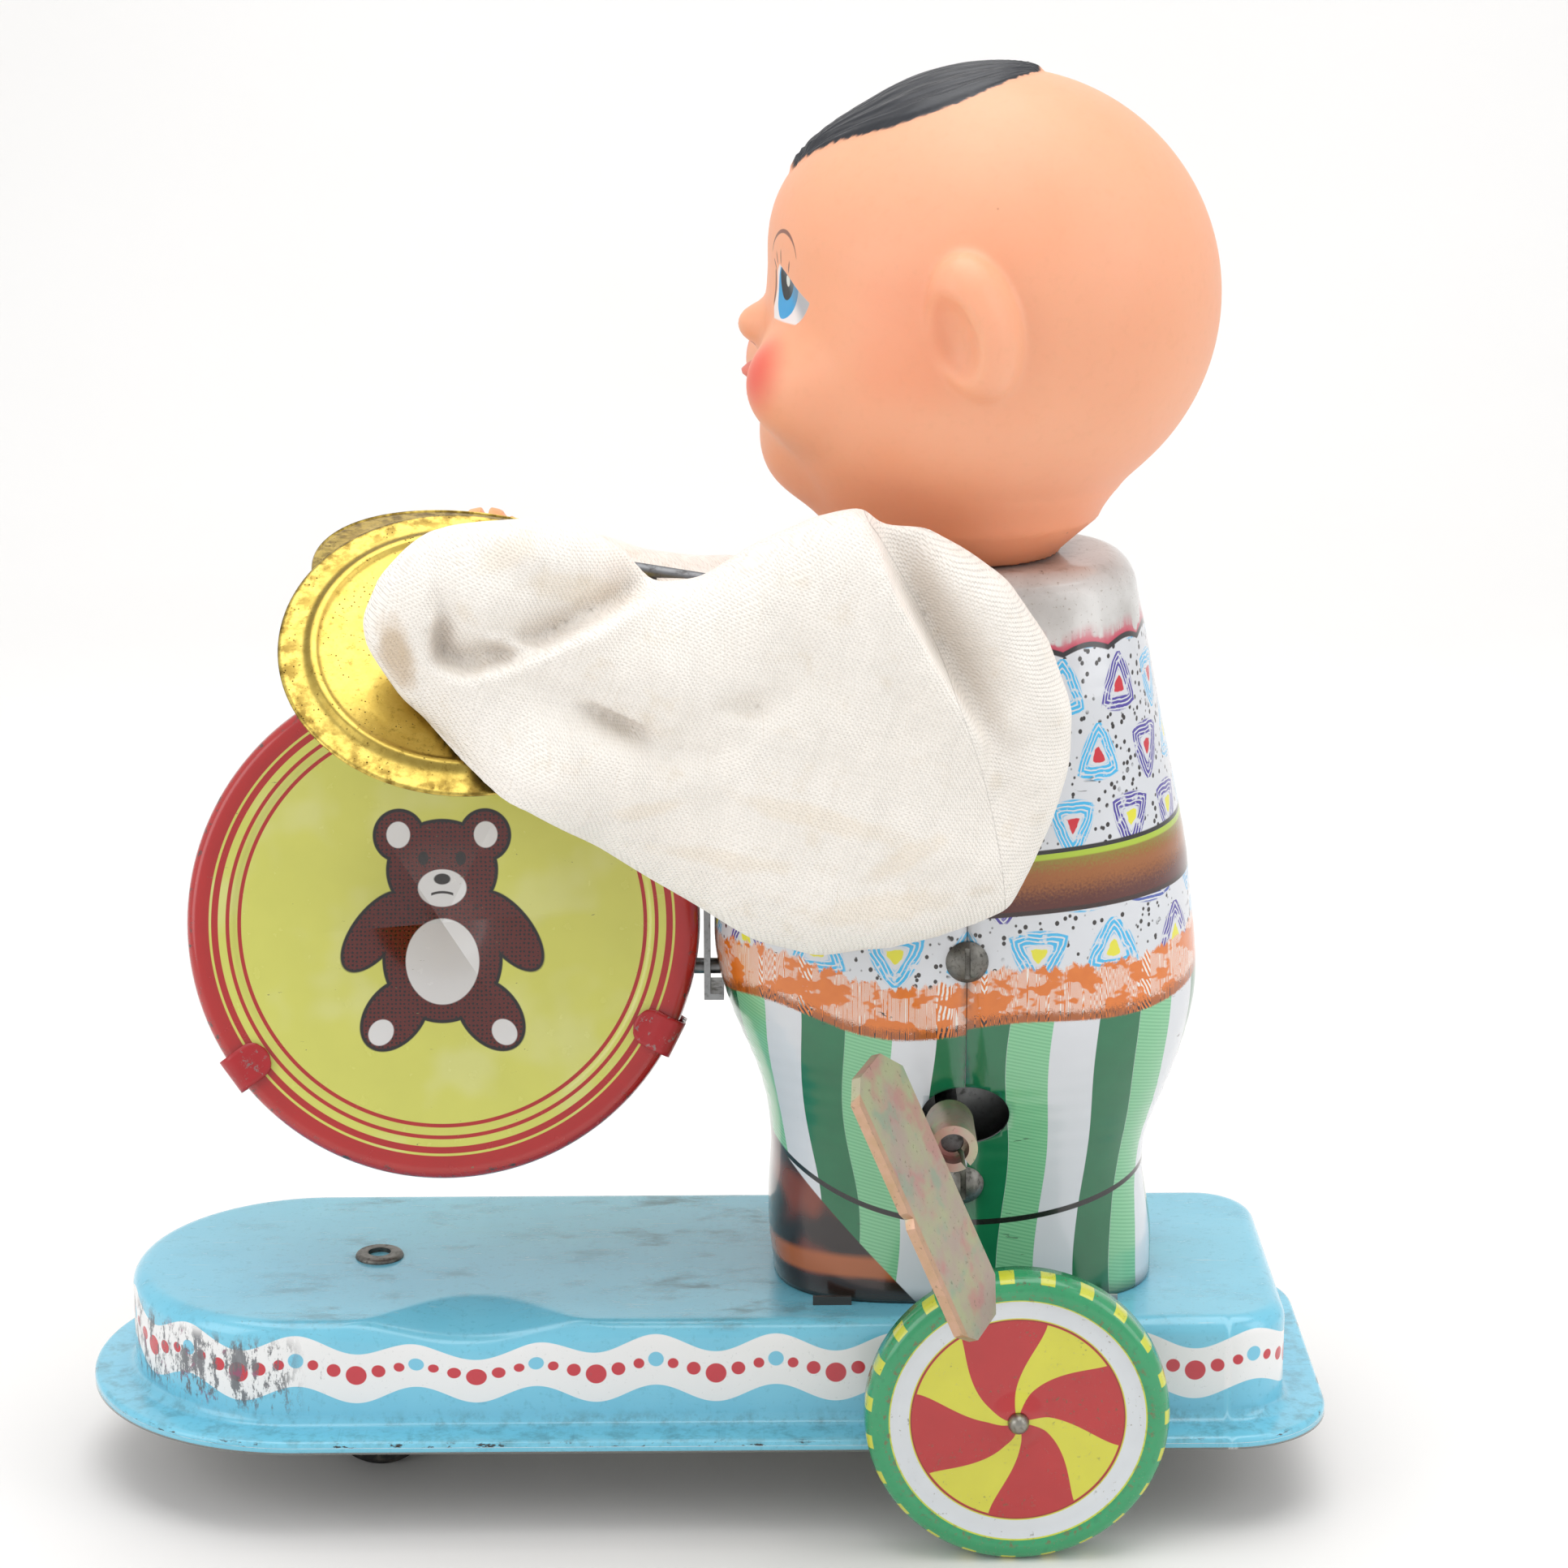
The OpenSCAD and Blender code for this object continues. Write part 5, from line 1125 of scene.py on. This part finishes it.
def tube(name, outline, spine, mid_y):
    """A soft bag from its outline, near and far faces pushed out from the middle, open at both ends."""
    loop = smooth_loop(outline, 520, 6)
    spine = np.array(spine)
    ss = np.concatenate([[0], np.cumsum(np.linalg.norm(np.diff(spine, axis=0), axis=1))])
    fine_s = np.stack([np.interp(np.linspace(0, ss[-1], 200), ss, spine[:, k]) for k in (0, 1)], 1)
    foot = np.array([fine_s[np.argmin(np.linalg.norm(fine_s - q, axis=1))] for q in loop])
    for _ in range(40):
        foot = 0.5 * foot + 0.25 * (np.roll(foot, 1, 0) + np.roll(foot, -1, 0))
    M, n = 34, len(loop)
    rings = [loop + (foot - loop) * (k / (M - 1)) ** 1.35 for k in range(M)]
    near_v = np.concatenate([np.column_stack([q[:, 0], mid_y(q) - near_side(q, loop),
        q[:, 1]]) for q in rings])
    far_v = np.concatenate([np.column_stack([q[:, 0], mid_y(q) + far_side(q, loop, mid_y(q)),
        q[:, 1]]) for q in rings[1:]])
    shift = len(near_v) - n
    faces = grid_faces(M, n, wrap=True)
    faces += [tuple(j if j < n else j + shift for j in q[::-1]) for q in grid_faces(M, n, wrap=True)]
    cap = [(M - 1) * n + i for i in range(n)]
    o = piece(name, np.concatenate([near_v, far_v]), faces + [tuple(cap[::-1]),
        tuple(c + shift for c in cap)])
    outward(o)
    vox = o.modifiers.new("v", "REMESH")
    vox.mode, vox.voxel_size = "VOXEL", 0.0008
    bake(o)
    sm = o.modifiers.new("s", "SMOOTH")
    sm.factor, sm.iterations = 0.5, 2
    bake(o)
    # lie on the cymbal's upper face and stay outside the body
    bm = bmesh.new()
    bm.from_mesh(o.data)
    trees = [BVHTree.FromObject(bpy.data.objects[q], bpy.context.evaluated_depsgraph_get()) for q in BODY]
    ca, sa = math.cos(math.radians(CYM_TILT)), math.sin(math.radians(CYM_TILT))
    for v in bm.verts:
        x, y, z = v.co * 1000
        ly, lz = (y + 21.5) * ca + (z - 128.2) * sa, -(y + 21.5) * sa + (z - 128.2) * ca
        r = math.hypot(x + 30.6, ly)
        if r < 31 and -1.2 < lz < 1.6:
            v.co.y -= 0.001 * (1.6 - lz) / sa * step(r, 31.0, 25.3) * step(lz, -1.2, 0.2)
        for t in trees:
            hit = t.ray_cast(Vector((v.co.x, -0.06, v.co.z)), Vector((0, 1, 0)))
            if hit[0] is not None and hit[0].y < 0 and v.co.y > hit[0].y - 0.0009:
                v.co.y = hit[0].y - 0.0009
    gone = []
    for f in bm.faces:
        x, y, z = f.calc_center_median() * 1000
        ly, lz = (y + 21.5) * ca + (z - 128.2) * sa, -(y + 21.5) * sa + (z - 128.2) * ca
        if (lz < 2.2 and math.hypot(x + 30.6, ly) < 9.0) or (lz < 1.0 and math.hypot(x + 30.6,
            ly) < 26.3) or (math.hypot((x - 22) / 11, (z - 125.6) / 6.5) < 1 and y > -28.5):
            gone.append(f)
    for _ in range(3):
        bmesh.ops.smooth_vert(bm, verts=bm.verts, factor=0.35, use_axis_x=True, use_axis_y=True,
            use_axis_z=True)
    bmesh.ops.delete(bm, geom=gone, context="FACES")
    bmesh.ops.delete(bm, geom=[v for v in bm.verts if not v.link_faces], context="VERTS")
    bm.to_mesh(o.data)
    bm.free()
    return o


def mid_left(q):
    return np.interp(q[:, 0], [-43, -20, 5, 25, 53], [-31.2, -32.4, -34.4, -35.0,
        -34.6]) - 8.0 * np.exp(-((q[:, 0] + 22) / 12) ** 2 - ((q[:, 1] - 112) / 8) ** 2)


def mid_right(q):
    return np.interp(q[:, 0], [-38, -20, 5, 25, 50], [-29.5, -30.5, -33, -34, -33.5]) + np.interp(q[:, 0],
        [-38, -10, 0, 18, 30], [1, 3, 6, 5, 0]) * np.clip((q[:, 1] - 114) / 14, 0, 1)


LOW = [(-37.5, 129.0), (-36.4, 133.6), (-31.5, 136.2), (-24.0, 136.4), (-14.0, 134.2), (-6.0, 132.0),
    (2.0, 131.2), (10.0, 131.2), (20.0, 132.4), (27.0, 134.4), (34.0, 134.6), (42.0, 131.0), (48.6, 124.0),
    (51.6, 114.0), (51.0, 101.5), (46.0, 91.0), (34.0, 85.5), (18.0, 84.0), (7.0, 87.0), (-1.0, 92.5),
    (-11.0, 100.0), (-23.0, 109.0), (-32.0, 117.0), (-37.0, 123.5)]
shapes = {
    "left": tube("left_sleeve_cloth", OUT, [(-30.0, 135.5), (-16.0, 127.5), (0.0, 119.5), (16.0, 119.5),
        (30.0, 119.0), (38.0, 117.0)], mid_left),
    "right": tube("right_sleeve_cloth", LOW, [(-28.0, 128.5), (-16.0, 123.5), (0.0, 116.0), (16.0, 112.5),
        (30.0, 112.0), (38.0, 111.0)], mid_right),
}

cotton = Mat("cream_plain_weave_cotton", Roughness=0.92, Specular_IOR_Level=0.2, Sheen_Weight=0.25,
    Sheen_Roughness=0.5)
m = cotton
P = m.co()
X, Y, Z = m.xyz(P)
warp = m.noise(9.0, detail=2)
turn = m.sum(-0.22, m.mul(m.span(m.sum(X, m.mul(m.sub(Z, 125.0), 0.377),
    m.mul(m.mul(m.sub(Z, 125.0), m.sub(Z, 125.0)), 0.00506)), 37.2, 37.25), 0.75))
ct, st = m.math("COSINE", turn), m.math("SINE", turn)
hx = m.sum(X, m.mul(m.sub(Y, -35.0), 0.5), m.mul(m.sub(warp, 0.5), 3.0))
hz = m.sum(Z, m.mul(m.sub(Y, -35.0), -0.25), m.mul(m.sub(warp, 0.5), -2.0))
wu = m.sum(m.mul(hx, ct), m.mul(hz, st))
wv = m.sub(m.mul(hz, ct), m.mul(hx, st))
slub_u = m.noise(1.0, m.vec(m.mul(wu, 2.4), m.mul(wv, 0.1), 0.0), detail=2)
slub_v = m.noise(1.0, m.vec(m.mul(wu, 0.1), m.mul(wv, 2.4), 5.0), detail=2)
pitch = 2 * math.pi / 0.38
a = m.math("SINE", m.mul(wu, pitch))
b = m.math("SINE", m.mul(wv, pitch))
over = m.mul(m.math("SINE", m.mul(wu, pitch / 2)), m.math("SINE", m.mul(wv, pitch / 2)))
weave = m.sum(m.mul(a, 0.24), m.mul(b, 0.24), m.mul(over, 0.5), m.mul(slub_u, 0.9), m.mul(slub_v, 0.9))
base = m.mix(m.noise(24.0, detail=3), "FBF5ED", "F4ECE1")
gapc = m.mul(m.span(a, -0.6, -1.0), m.span(b, -0.2, -1.0))
base = m.mix(m.mul(gapc, 0.4), base, "B5A28C")
base = m.mix(m.mul(m.span(slub_u, 0.6, 0.8), 0.3), base, "D9CBB8")


def stain(cx, cz, rx, rz, t, colour, amt):
    global base
    n2 = m.mul(m.sub(m.noise(3.2, detail=4), 0.5), 1.3)
    c, s = math.cos(math.radians(t)), math.sin(math.radians(t))
    dx, dz = m.sub(X, cx), m.sub(Z, cz)
    p = m.mul(m.sum(m.mul(dx, c), m.mul(dz, s)), 1 / rx)
    q = m.mul(m.sub(m.mul(dz, c), m.mul(dx, s)), 1 / rz)
    r = m.sum(m.math("SQRT", m.sum(m.mul(p, p), m.mul(q, q))), n2)
    base = m.mix(m.mul(m.span(r, 1.35, 0.55), amt, m.span(Y, -30.0, -33.0)), base, colour)


stain(-38.0, 131.5, 2.6, 5.2, 12, "BFA17A", 0.5)
stain(-38.0, 131.5, 1.5, 3.6, 12, "C9B294", 0.5)
for q in ((-14, 140, 7, 2.0, -10), (-23, 145, 4, 2.2, 20), (18, 110, 12, 1.6, -14), (6, 104, 9, 1.4, -8),
    (27, 97, 10, 2.0, 6), (-4, 111, 5, 1.2, 10), (30, 104, 6, 1.6, 30)):
    stain(*q, "E6CDA6", 0.2)
base = m.mix(m.mul(m.span(m.noise(5.0, detail=5), 0.56, 0.75), 0.2), base, "D8C09A")
# painted shade: ambient occlusion darkens the cloth in its folds and creases
ao = m.add("ShaderNodeAmbientOcclusion", samples=6)
ao.inputs["Distance"].default_value = 0.009
base = m.mix(m.mul(m.inv(m.span(ao.outputs["AO"], 0.4, 0.97)), 0.34), base, "B3A394")
m.set(Base_Color=base, Subsurface_Weight=0.06, Subsurface_Scale=0.001)
m.b.inputs["Subsurface Radius"].default_value = (1, 0.9, 0.8)
m.bump(weave, 0.12, 0.95)

# each sleeve gets a thin cloth wall and the cotton; the right one is turned over to the far side
for side, s in (("left", 1), ("right", -1)):
    o = shapes[side]
    if s < 0:
        for v in o.data.vertices:
            v.co.y = -v.co.y
        o.data.flip_normals()
    th = o.modifiers.new("cloth", "SOLIDIFY")
    th.thickness, th.offset = 0.0004, -1
    bake(o)
    o.data.polygons.foreach_set("use_smooth", [True] * len(o.data.polygons))
    o.data.materials.clear()
    o.data.materials.append(cotton.m)
    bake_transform(o)
    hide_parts(side + "_sleeve")

# ---- cymbals: two thin dished discs of gold-lacquered tin, each with a pressed ring near its edge ----
# The lacquer is mottled and pitted with dark specks, and browned toward the rim.
def turned(deg_x, deg_y, c, flip):
    a, b = math.radians(deg_x), math.radians(deg_y)

    def put(p):
        x, y, z = p
        x, z = x * math.cos(b) + z * math.sin(b), -x * math.sin(b) + z * math.cos(b)
        y, z = y * math.cos(a) - z * math.sin(a), y * math.sin(a) + z * math.cos(a)
        return (c[0] + x, (c[1] + y) * flip, c[2] + z)
    return put


gold = Mat("gold_lacquered_tin", Metallic=1.0, Roughness=0.3)
m = gold
A, B, _ = m.xyz(m.co(uv=True))
rr = m.math("SQRT", m.sum(m.mul(A, A), m.mul(B, B)))
uvp = m.vec(A, B, 0.0)
n1 = m.noise(4.0, uvp, detail=6, rough=0.7)
base = m.mix(n1, "E7CF72", "B8963A")
base = m.mix(m.mul(m.span(m.noise(1.3, uvp, detail=5, rough=0.75), 0.52, 0.7), 0.6), base, "7C6222")
base = m.mix(m.mul(m.span(rr, 20.0, 25.0), m.span(m.noise(2.0, uvp, detail=5), 0.4, 0.62), 0.75), base,
    "5A4018")
pits = m.cells(0.7, uvp)
pit = m.mul(m.inside(m.sub(pits[0], 0.16), 0.05), m.span(m.noise(5.0, uvp), 0.45, 0.6))
base = m.mix(m.mul(pit, 0.8), base, "3F3216")
base = m.mix(m.mul(m.inside(m.sub(m.math("ABSOLUTE", m.sub(rr, 20.9)), 0.5), 0.4), 0.45), base, "5E4A1C")
m.set(Base_Color=base, Roughness=m.sum(0.24, m.mul(n1, 0.2), m.mul(pit, 0.3)))
m.bump(m.sum(m.mul(m.noise(2.2, uvp, detail=4), 0.7), m.mul(m.noise(0.6, uvp, detail=2), 0.25),
    m.mul(pit, -0.5)), 0.12, 0.6)
prof = shell_prof([(1.4, 0.9), (4.6, 0.9), (6.2, 0.45), (11.0, 0.25), (17.0, -0.05), (19.2, 0.3),
    (19.9, 0.75), (20.6, 0.7), (21.4, 0.1), (22.6, -0.15), (24.6, -0.4), (25.0, -0.62)], 0.36, 0.8)
for node, s in (("left_cymbal", 1), ("right_cymbal", -1)):
    put = turned(CYM_TILT, 5, CYM, s)
    o = lathe(node.replace("cymbal", "gold_cymbal"), prof, 144, put, gold, wob=lambda r,
        a: 0.12 * (r / 25) ** 2 * math.sin(3 * a + 0.7))
    outward(o)
    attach(o, "arm_left" if s > 0 else "arm_right")
    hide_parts(node)

# ---- hands: moulded hard plastic fists pushed on the arm rods, in a peach-orange darker than the head ----
# Each has three finger grooves, a thumb and a short cuff that runs up inside the sleeve.
HP = np.array(HAND)
arm_dir = HP - np.array(SHOULDER)
arm_dir /= np.linalg.norm(arm_dir)


def hand_sdf(p):
    d = ell_sdf(p, (-29.9, -25.2, 133.3), (6.0, 5.7, 5.7))
    d = soft_min(d, ell_sdf(p, (-33.0, -25.0, 134.6), (3.6, 3.2, 3.4)), 1.4)
    q = p - HP
    t = q @ -arm_dir
    r = np.linalg.norm(q + t[:, None] * arm_dir, axis=1)
    d = soft_min(d, np.maximum(r - 4.1, np.abs(t - 7.4) - 7.4), 1.6)
    for k in (-3.0, 0.2, 3.4):
        g = ell_sdf(p, (-30.0 + k, -26.6, 138.8), (0.5, 6.0, 1.5))
        d = -soft_min(-d, g, 0.6)
    n_ = (p[:, 1] + 21.5) * -math.sin(math.radians(CYM_TILT)) + (p[:,
        2] - 128.2) * math.cos(math.radians(CYM_TILT))
    return np.maximum(d, 1.0 - n_)


bm = bmesh.new()
bmesh.ops.create_icosphere(bm, subdivisions=6, radius=1.0)
hd = np.array([v.co[:] for v in bm.verts])
hc = HP + np.array([1.0, 0, 0.5])
hr = np.full(len(hd), 22.0)
for _ in range(70):
    hr -= 0.6 * hand_sdf(hc + hd * hr[:, None])
for v, c in zip(bm.verts, hc + hd * np.clip(hr, 0.5, 22)[:, None]):
    v.co = Vector(c * 0.001)
hand_me = bpy.data.meshes.new("hand")
bm.to_mesh(hand_me)
bm.free()
hand_m = Mat("peach_orange_hard_plastic", Roughness=0.32, Subsurface_Weight=0.25, Subsurface_Scale=0.003)
hand_m.b.inputs["Subsurface Radius"].default_value = (1.0, 0.4, 0.25)
m = hand_m
m.set(Base_Color=m.mix(m.mul(m.span(m.noise(3.0, detail=5), 0.5, 0.75), 0.4),
    m.mix(m.noise(12.0), "F2AE72", "EBA064"), "B97B4A"),
    Roughness=m.sum(0.28, m.mul(m.noise(2.0, detail=4), 0.18)))
m.bump(m.sum(m.noise(1.8, detail=3), m.mul(m.noise(8.0), 1.5)), 0.05, 0.5)
for node, s in (("left_hand", 1), ("right_hand", -1)):
    me = hand_me.copy()
    o = bpy.data.objects.new(node.replace("hand", "plastic_fist"), me)
    bpy.context.scene.collection.objects.link(o)
    if s < 0:
        for v in me.vertices:
            v.co.y = -v.co.y
    outward(o)
    me.polygons.foreach_set("use_smooth", [True] * len(me.polygons))
    me.materials.append(hand_m.m)
    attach(o, "arm_left" if s > 0 else "arm_right")
    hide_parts(node)

# ---- plain metal and plastic ----
# Key, screws, motor, axle, caster and linkage, each in its own worn finish.
# These keep the shapes of the frame; a fine bevel breaks their edges and each finish carries its own
# grime and marks; the metal ones also carry painted shade in their recesses and corners.
def metal(name, a, b, rough=0.32, dirt="3A3733", amt=0.5, metallic=1.0, scale=1.0, brush=0.0):
    mt = Mat(name, Metallic=metallic)
    n1_ = mt.noise(2.6 * scale, detail=6, rough=0.65)
    g = mt.span(mt.noise(1.3 * scale, detail=6, rough=0.75), 0.5, 0.68)
    bs = mt.mix(n1_, a, b)
    bs = mt.mix(mt.mul(g, amt), bs, dirt)
    # painted shade: ambient occlusion darkens the finish toward the dirt colour in recesses and corners
    ao_ = mt.add("ShaderNodeAmbientOcclusion", samples=4)
    ao_.inputs["Distance"].default_value = 0.002
    bs = mt.mix(mt.mul(mt.inv(mt.span(ao_.outputs["AO"], 0.3, 0.95)), 0.6), bs, dirt)
    mt.set(Base_Color=bs, Roughness=mt.sum(rough, mt.mul(n1_, 0.16), mt.mul(g, 0.2)),
        Metallic=mt.mul(mt.inv(mt.mul(g, amt * 0.6)), metallic))
    fine_ = mt.noise(0.35, mt.vmath("MULTIPLY", mt.co(), (1.0, 0.2, 1.0)) if brush else None, detail=2)
    mt.bump(mt.sum(mt.mul(mt.noise(1.6 * scale, detail=4), 0.8), mt.mul(fine_, 0.25)), 0.05, 0.6)
    return mt


finishes = {
    "nickel": metal("worn_nickelled_screw_steel", "8E8C86", "5C5953", 0.34, "2A2723", 0.7, 0.95, 0.6),
    "steel": metal("plain_cut_steel", "8A8B8C", "66676A", 0.34, "3A3530", 0.45),
    "tin": metal("bare_tinplate", "A3A5A6", "7F8080", 0.3, "514C46", 0.4),
    "spring": metal("blued_spring_steel", "3E4656", "262B36", 0.3, "2A1E18", 0.4),
    "brass": metal("stamped_brass", "C9A955", "97783A", 0.3, "4A3820", 0.4),
    "axle": metal("turned_axle_steel", "A6A39A", "7C776E", 0.28, "3D342A", 0.55, 1.0, 0.5),
}
zinc = Mat("iridescent_passivated_zinc", Metallic=0.92, Roughness=0.4)
m = zinc
P = m.co()
film = m.noise(9.0, detail=3)
base = m.mix(m.span(film, 0.35, 0.65), "B7BC96", "B9A79C")
base = m.mix(m.mul(m.span(m.noise(6.0, m.vmath("ADD", P, (5, 3, 9)), detail=3), 0.5, 0.68), 0.7), base,
    "C78F8C")
base = m.mix(m.mul(m.span(m.noise(5.0, m.vmath("ADD", P, (15, 8, 2)), detail=3), 0.54, 0.68), 0.55), base,
    "8FB39A")
near_edge = m.span(m.xyz(P)[1], -56.4, -56.8)
base = m.mix(near_edge, base, m.mix(m.noise(2.4, detail=5), "D9AE9E", "B39A6E"))
pk = m.span(m.noise(0.7, detail=4), 0.62, 0.7)
base = m.mix(m.mul(pk, 0.4), base, "5E5848")
m.set(Base_Color=base, Roughness=m.sum(0.34, m.mul(m.noise(1.2, detail=5), 0.2)))
m.bump(m.sum(m.mul(m.noise(0.7, detail=3), 0.6), m.mul(m.noise(5.0), 0.8)), 0.06, 0.6)
finishes["zinc"] = zinc
roller_m = Mat("black_moulded_roller", Roughness=0.55)
m = roller_m
m.set(Base_Color=m.mix(m.span(m.noise(2.0, detail=6), 0.5, 0.7), "1C1B1A", "4B463F"),
    Roughness=m.sum(0.45, m.mul(m.noise(1.5, detail=4), 0.25)))
m.bump(m.noise(0.8, detail=4), 0.08, 0.7)
finishes["roller"] = roller_m
neck_m = Mat("plain_neck_plastic", Roughness=0.45)
m = neck_m
m.set(Base_Color=m.mix(m.noise(6.0, detail=4), "D9C2B0", "C4AA97"),
    Roughness=m.sum(0.4, m.mul(m.noise(2.0, detail=3), 0.15)))
m.bump(m.noise(1.5, detail=3), 0.05, 0.5)
finishes["neck"] = neck_m
green_in = Mat("green_wheel_back_tin", Roughness=0.28, Coat_Weight=0.4)
m = green_in
m.set(Base_Color=m.mix(m.span(m.noise(3.0, detail=6, rough=0.7), 0.56, 0.66),
    m.mix(m.noise(8.0), "2B9460", "237F50"), "4F5A44"), Roughness=m.sum(0.2,
    m.mul(m.noise(2.0, detail=4), 0.2)))
m.bump(m.sum(m.noise(7.0), m.mul(m.noise(1.0, detail=3), 0.3)), 0.08, 0.5)
finishes["green"] = green_in
USE = {
    "nickel": ["seam_screws", "caster_rivet", "left_cymbal_rivet", "right_cymbal_rivet", "lever_stud"],
    "axle": ["rear_axle", "roller_pin"],
    "steel": ["shoulder_pins", "motor_pillars", "winding_arbor", "ratchet_wheel", "click", "second_arbor",
        "governor_arbor", "arm_cam", "left_arm", "right_arm"],
    "tin": ["caster_bracket", "screw_posts", "collar_spacer", "drum_bracket", "motor_plate_left",
        "motor_plate_right", "shoulder_bridge", "rocker_lever"],
    "spring": ["mainspring"],
    "brass": ["axle_gear", "great_wheel", "second_wheel", "governor_disc"],
    "zinc": ["winding_key"],
    "roller": ["front_roller"],
    "neck": ["neck_plug"],
    "green": ["left_wheel_inner", "right_wheel_inner"],
}
for fin, names in USE.items():
    for nm in names:
        o = NODES[nm]
        o.data.materials.clear()
        o.data.materials.append(finishes[fin].m)
        if nm not in ("mainspring", "great_wheel", "second_wheel"):
            bv = o.modifiers.new("edges", "BEVEL")
            bv.width, bv.segments, bv.limit_method, bv.angle_limit = 0.00012, 2, "ANGLE", math.radians(40)
            bv.harden_normals = False
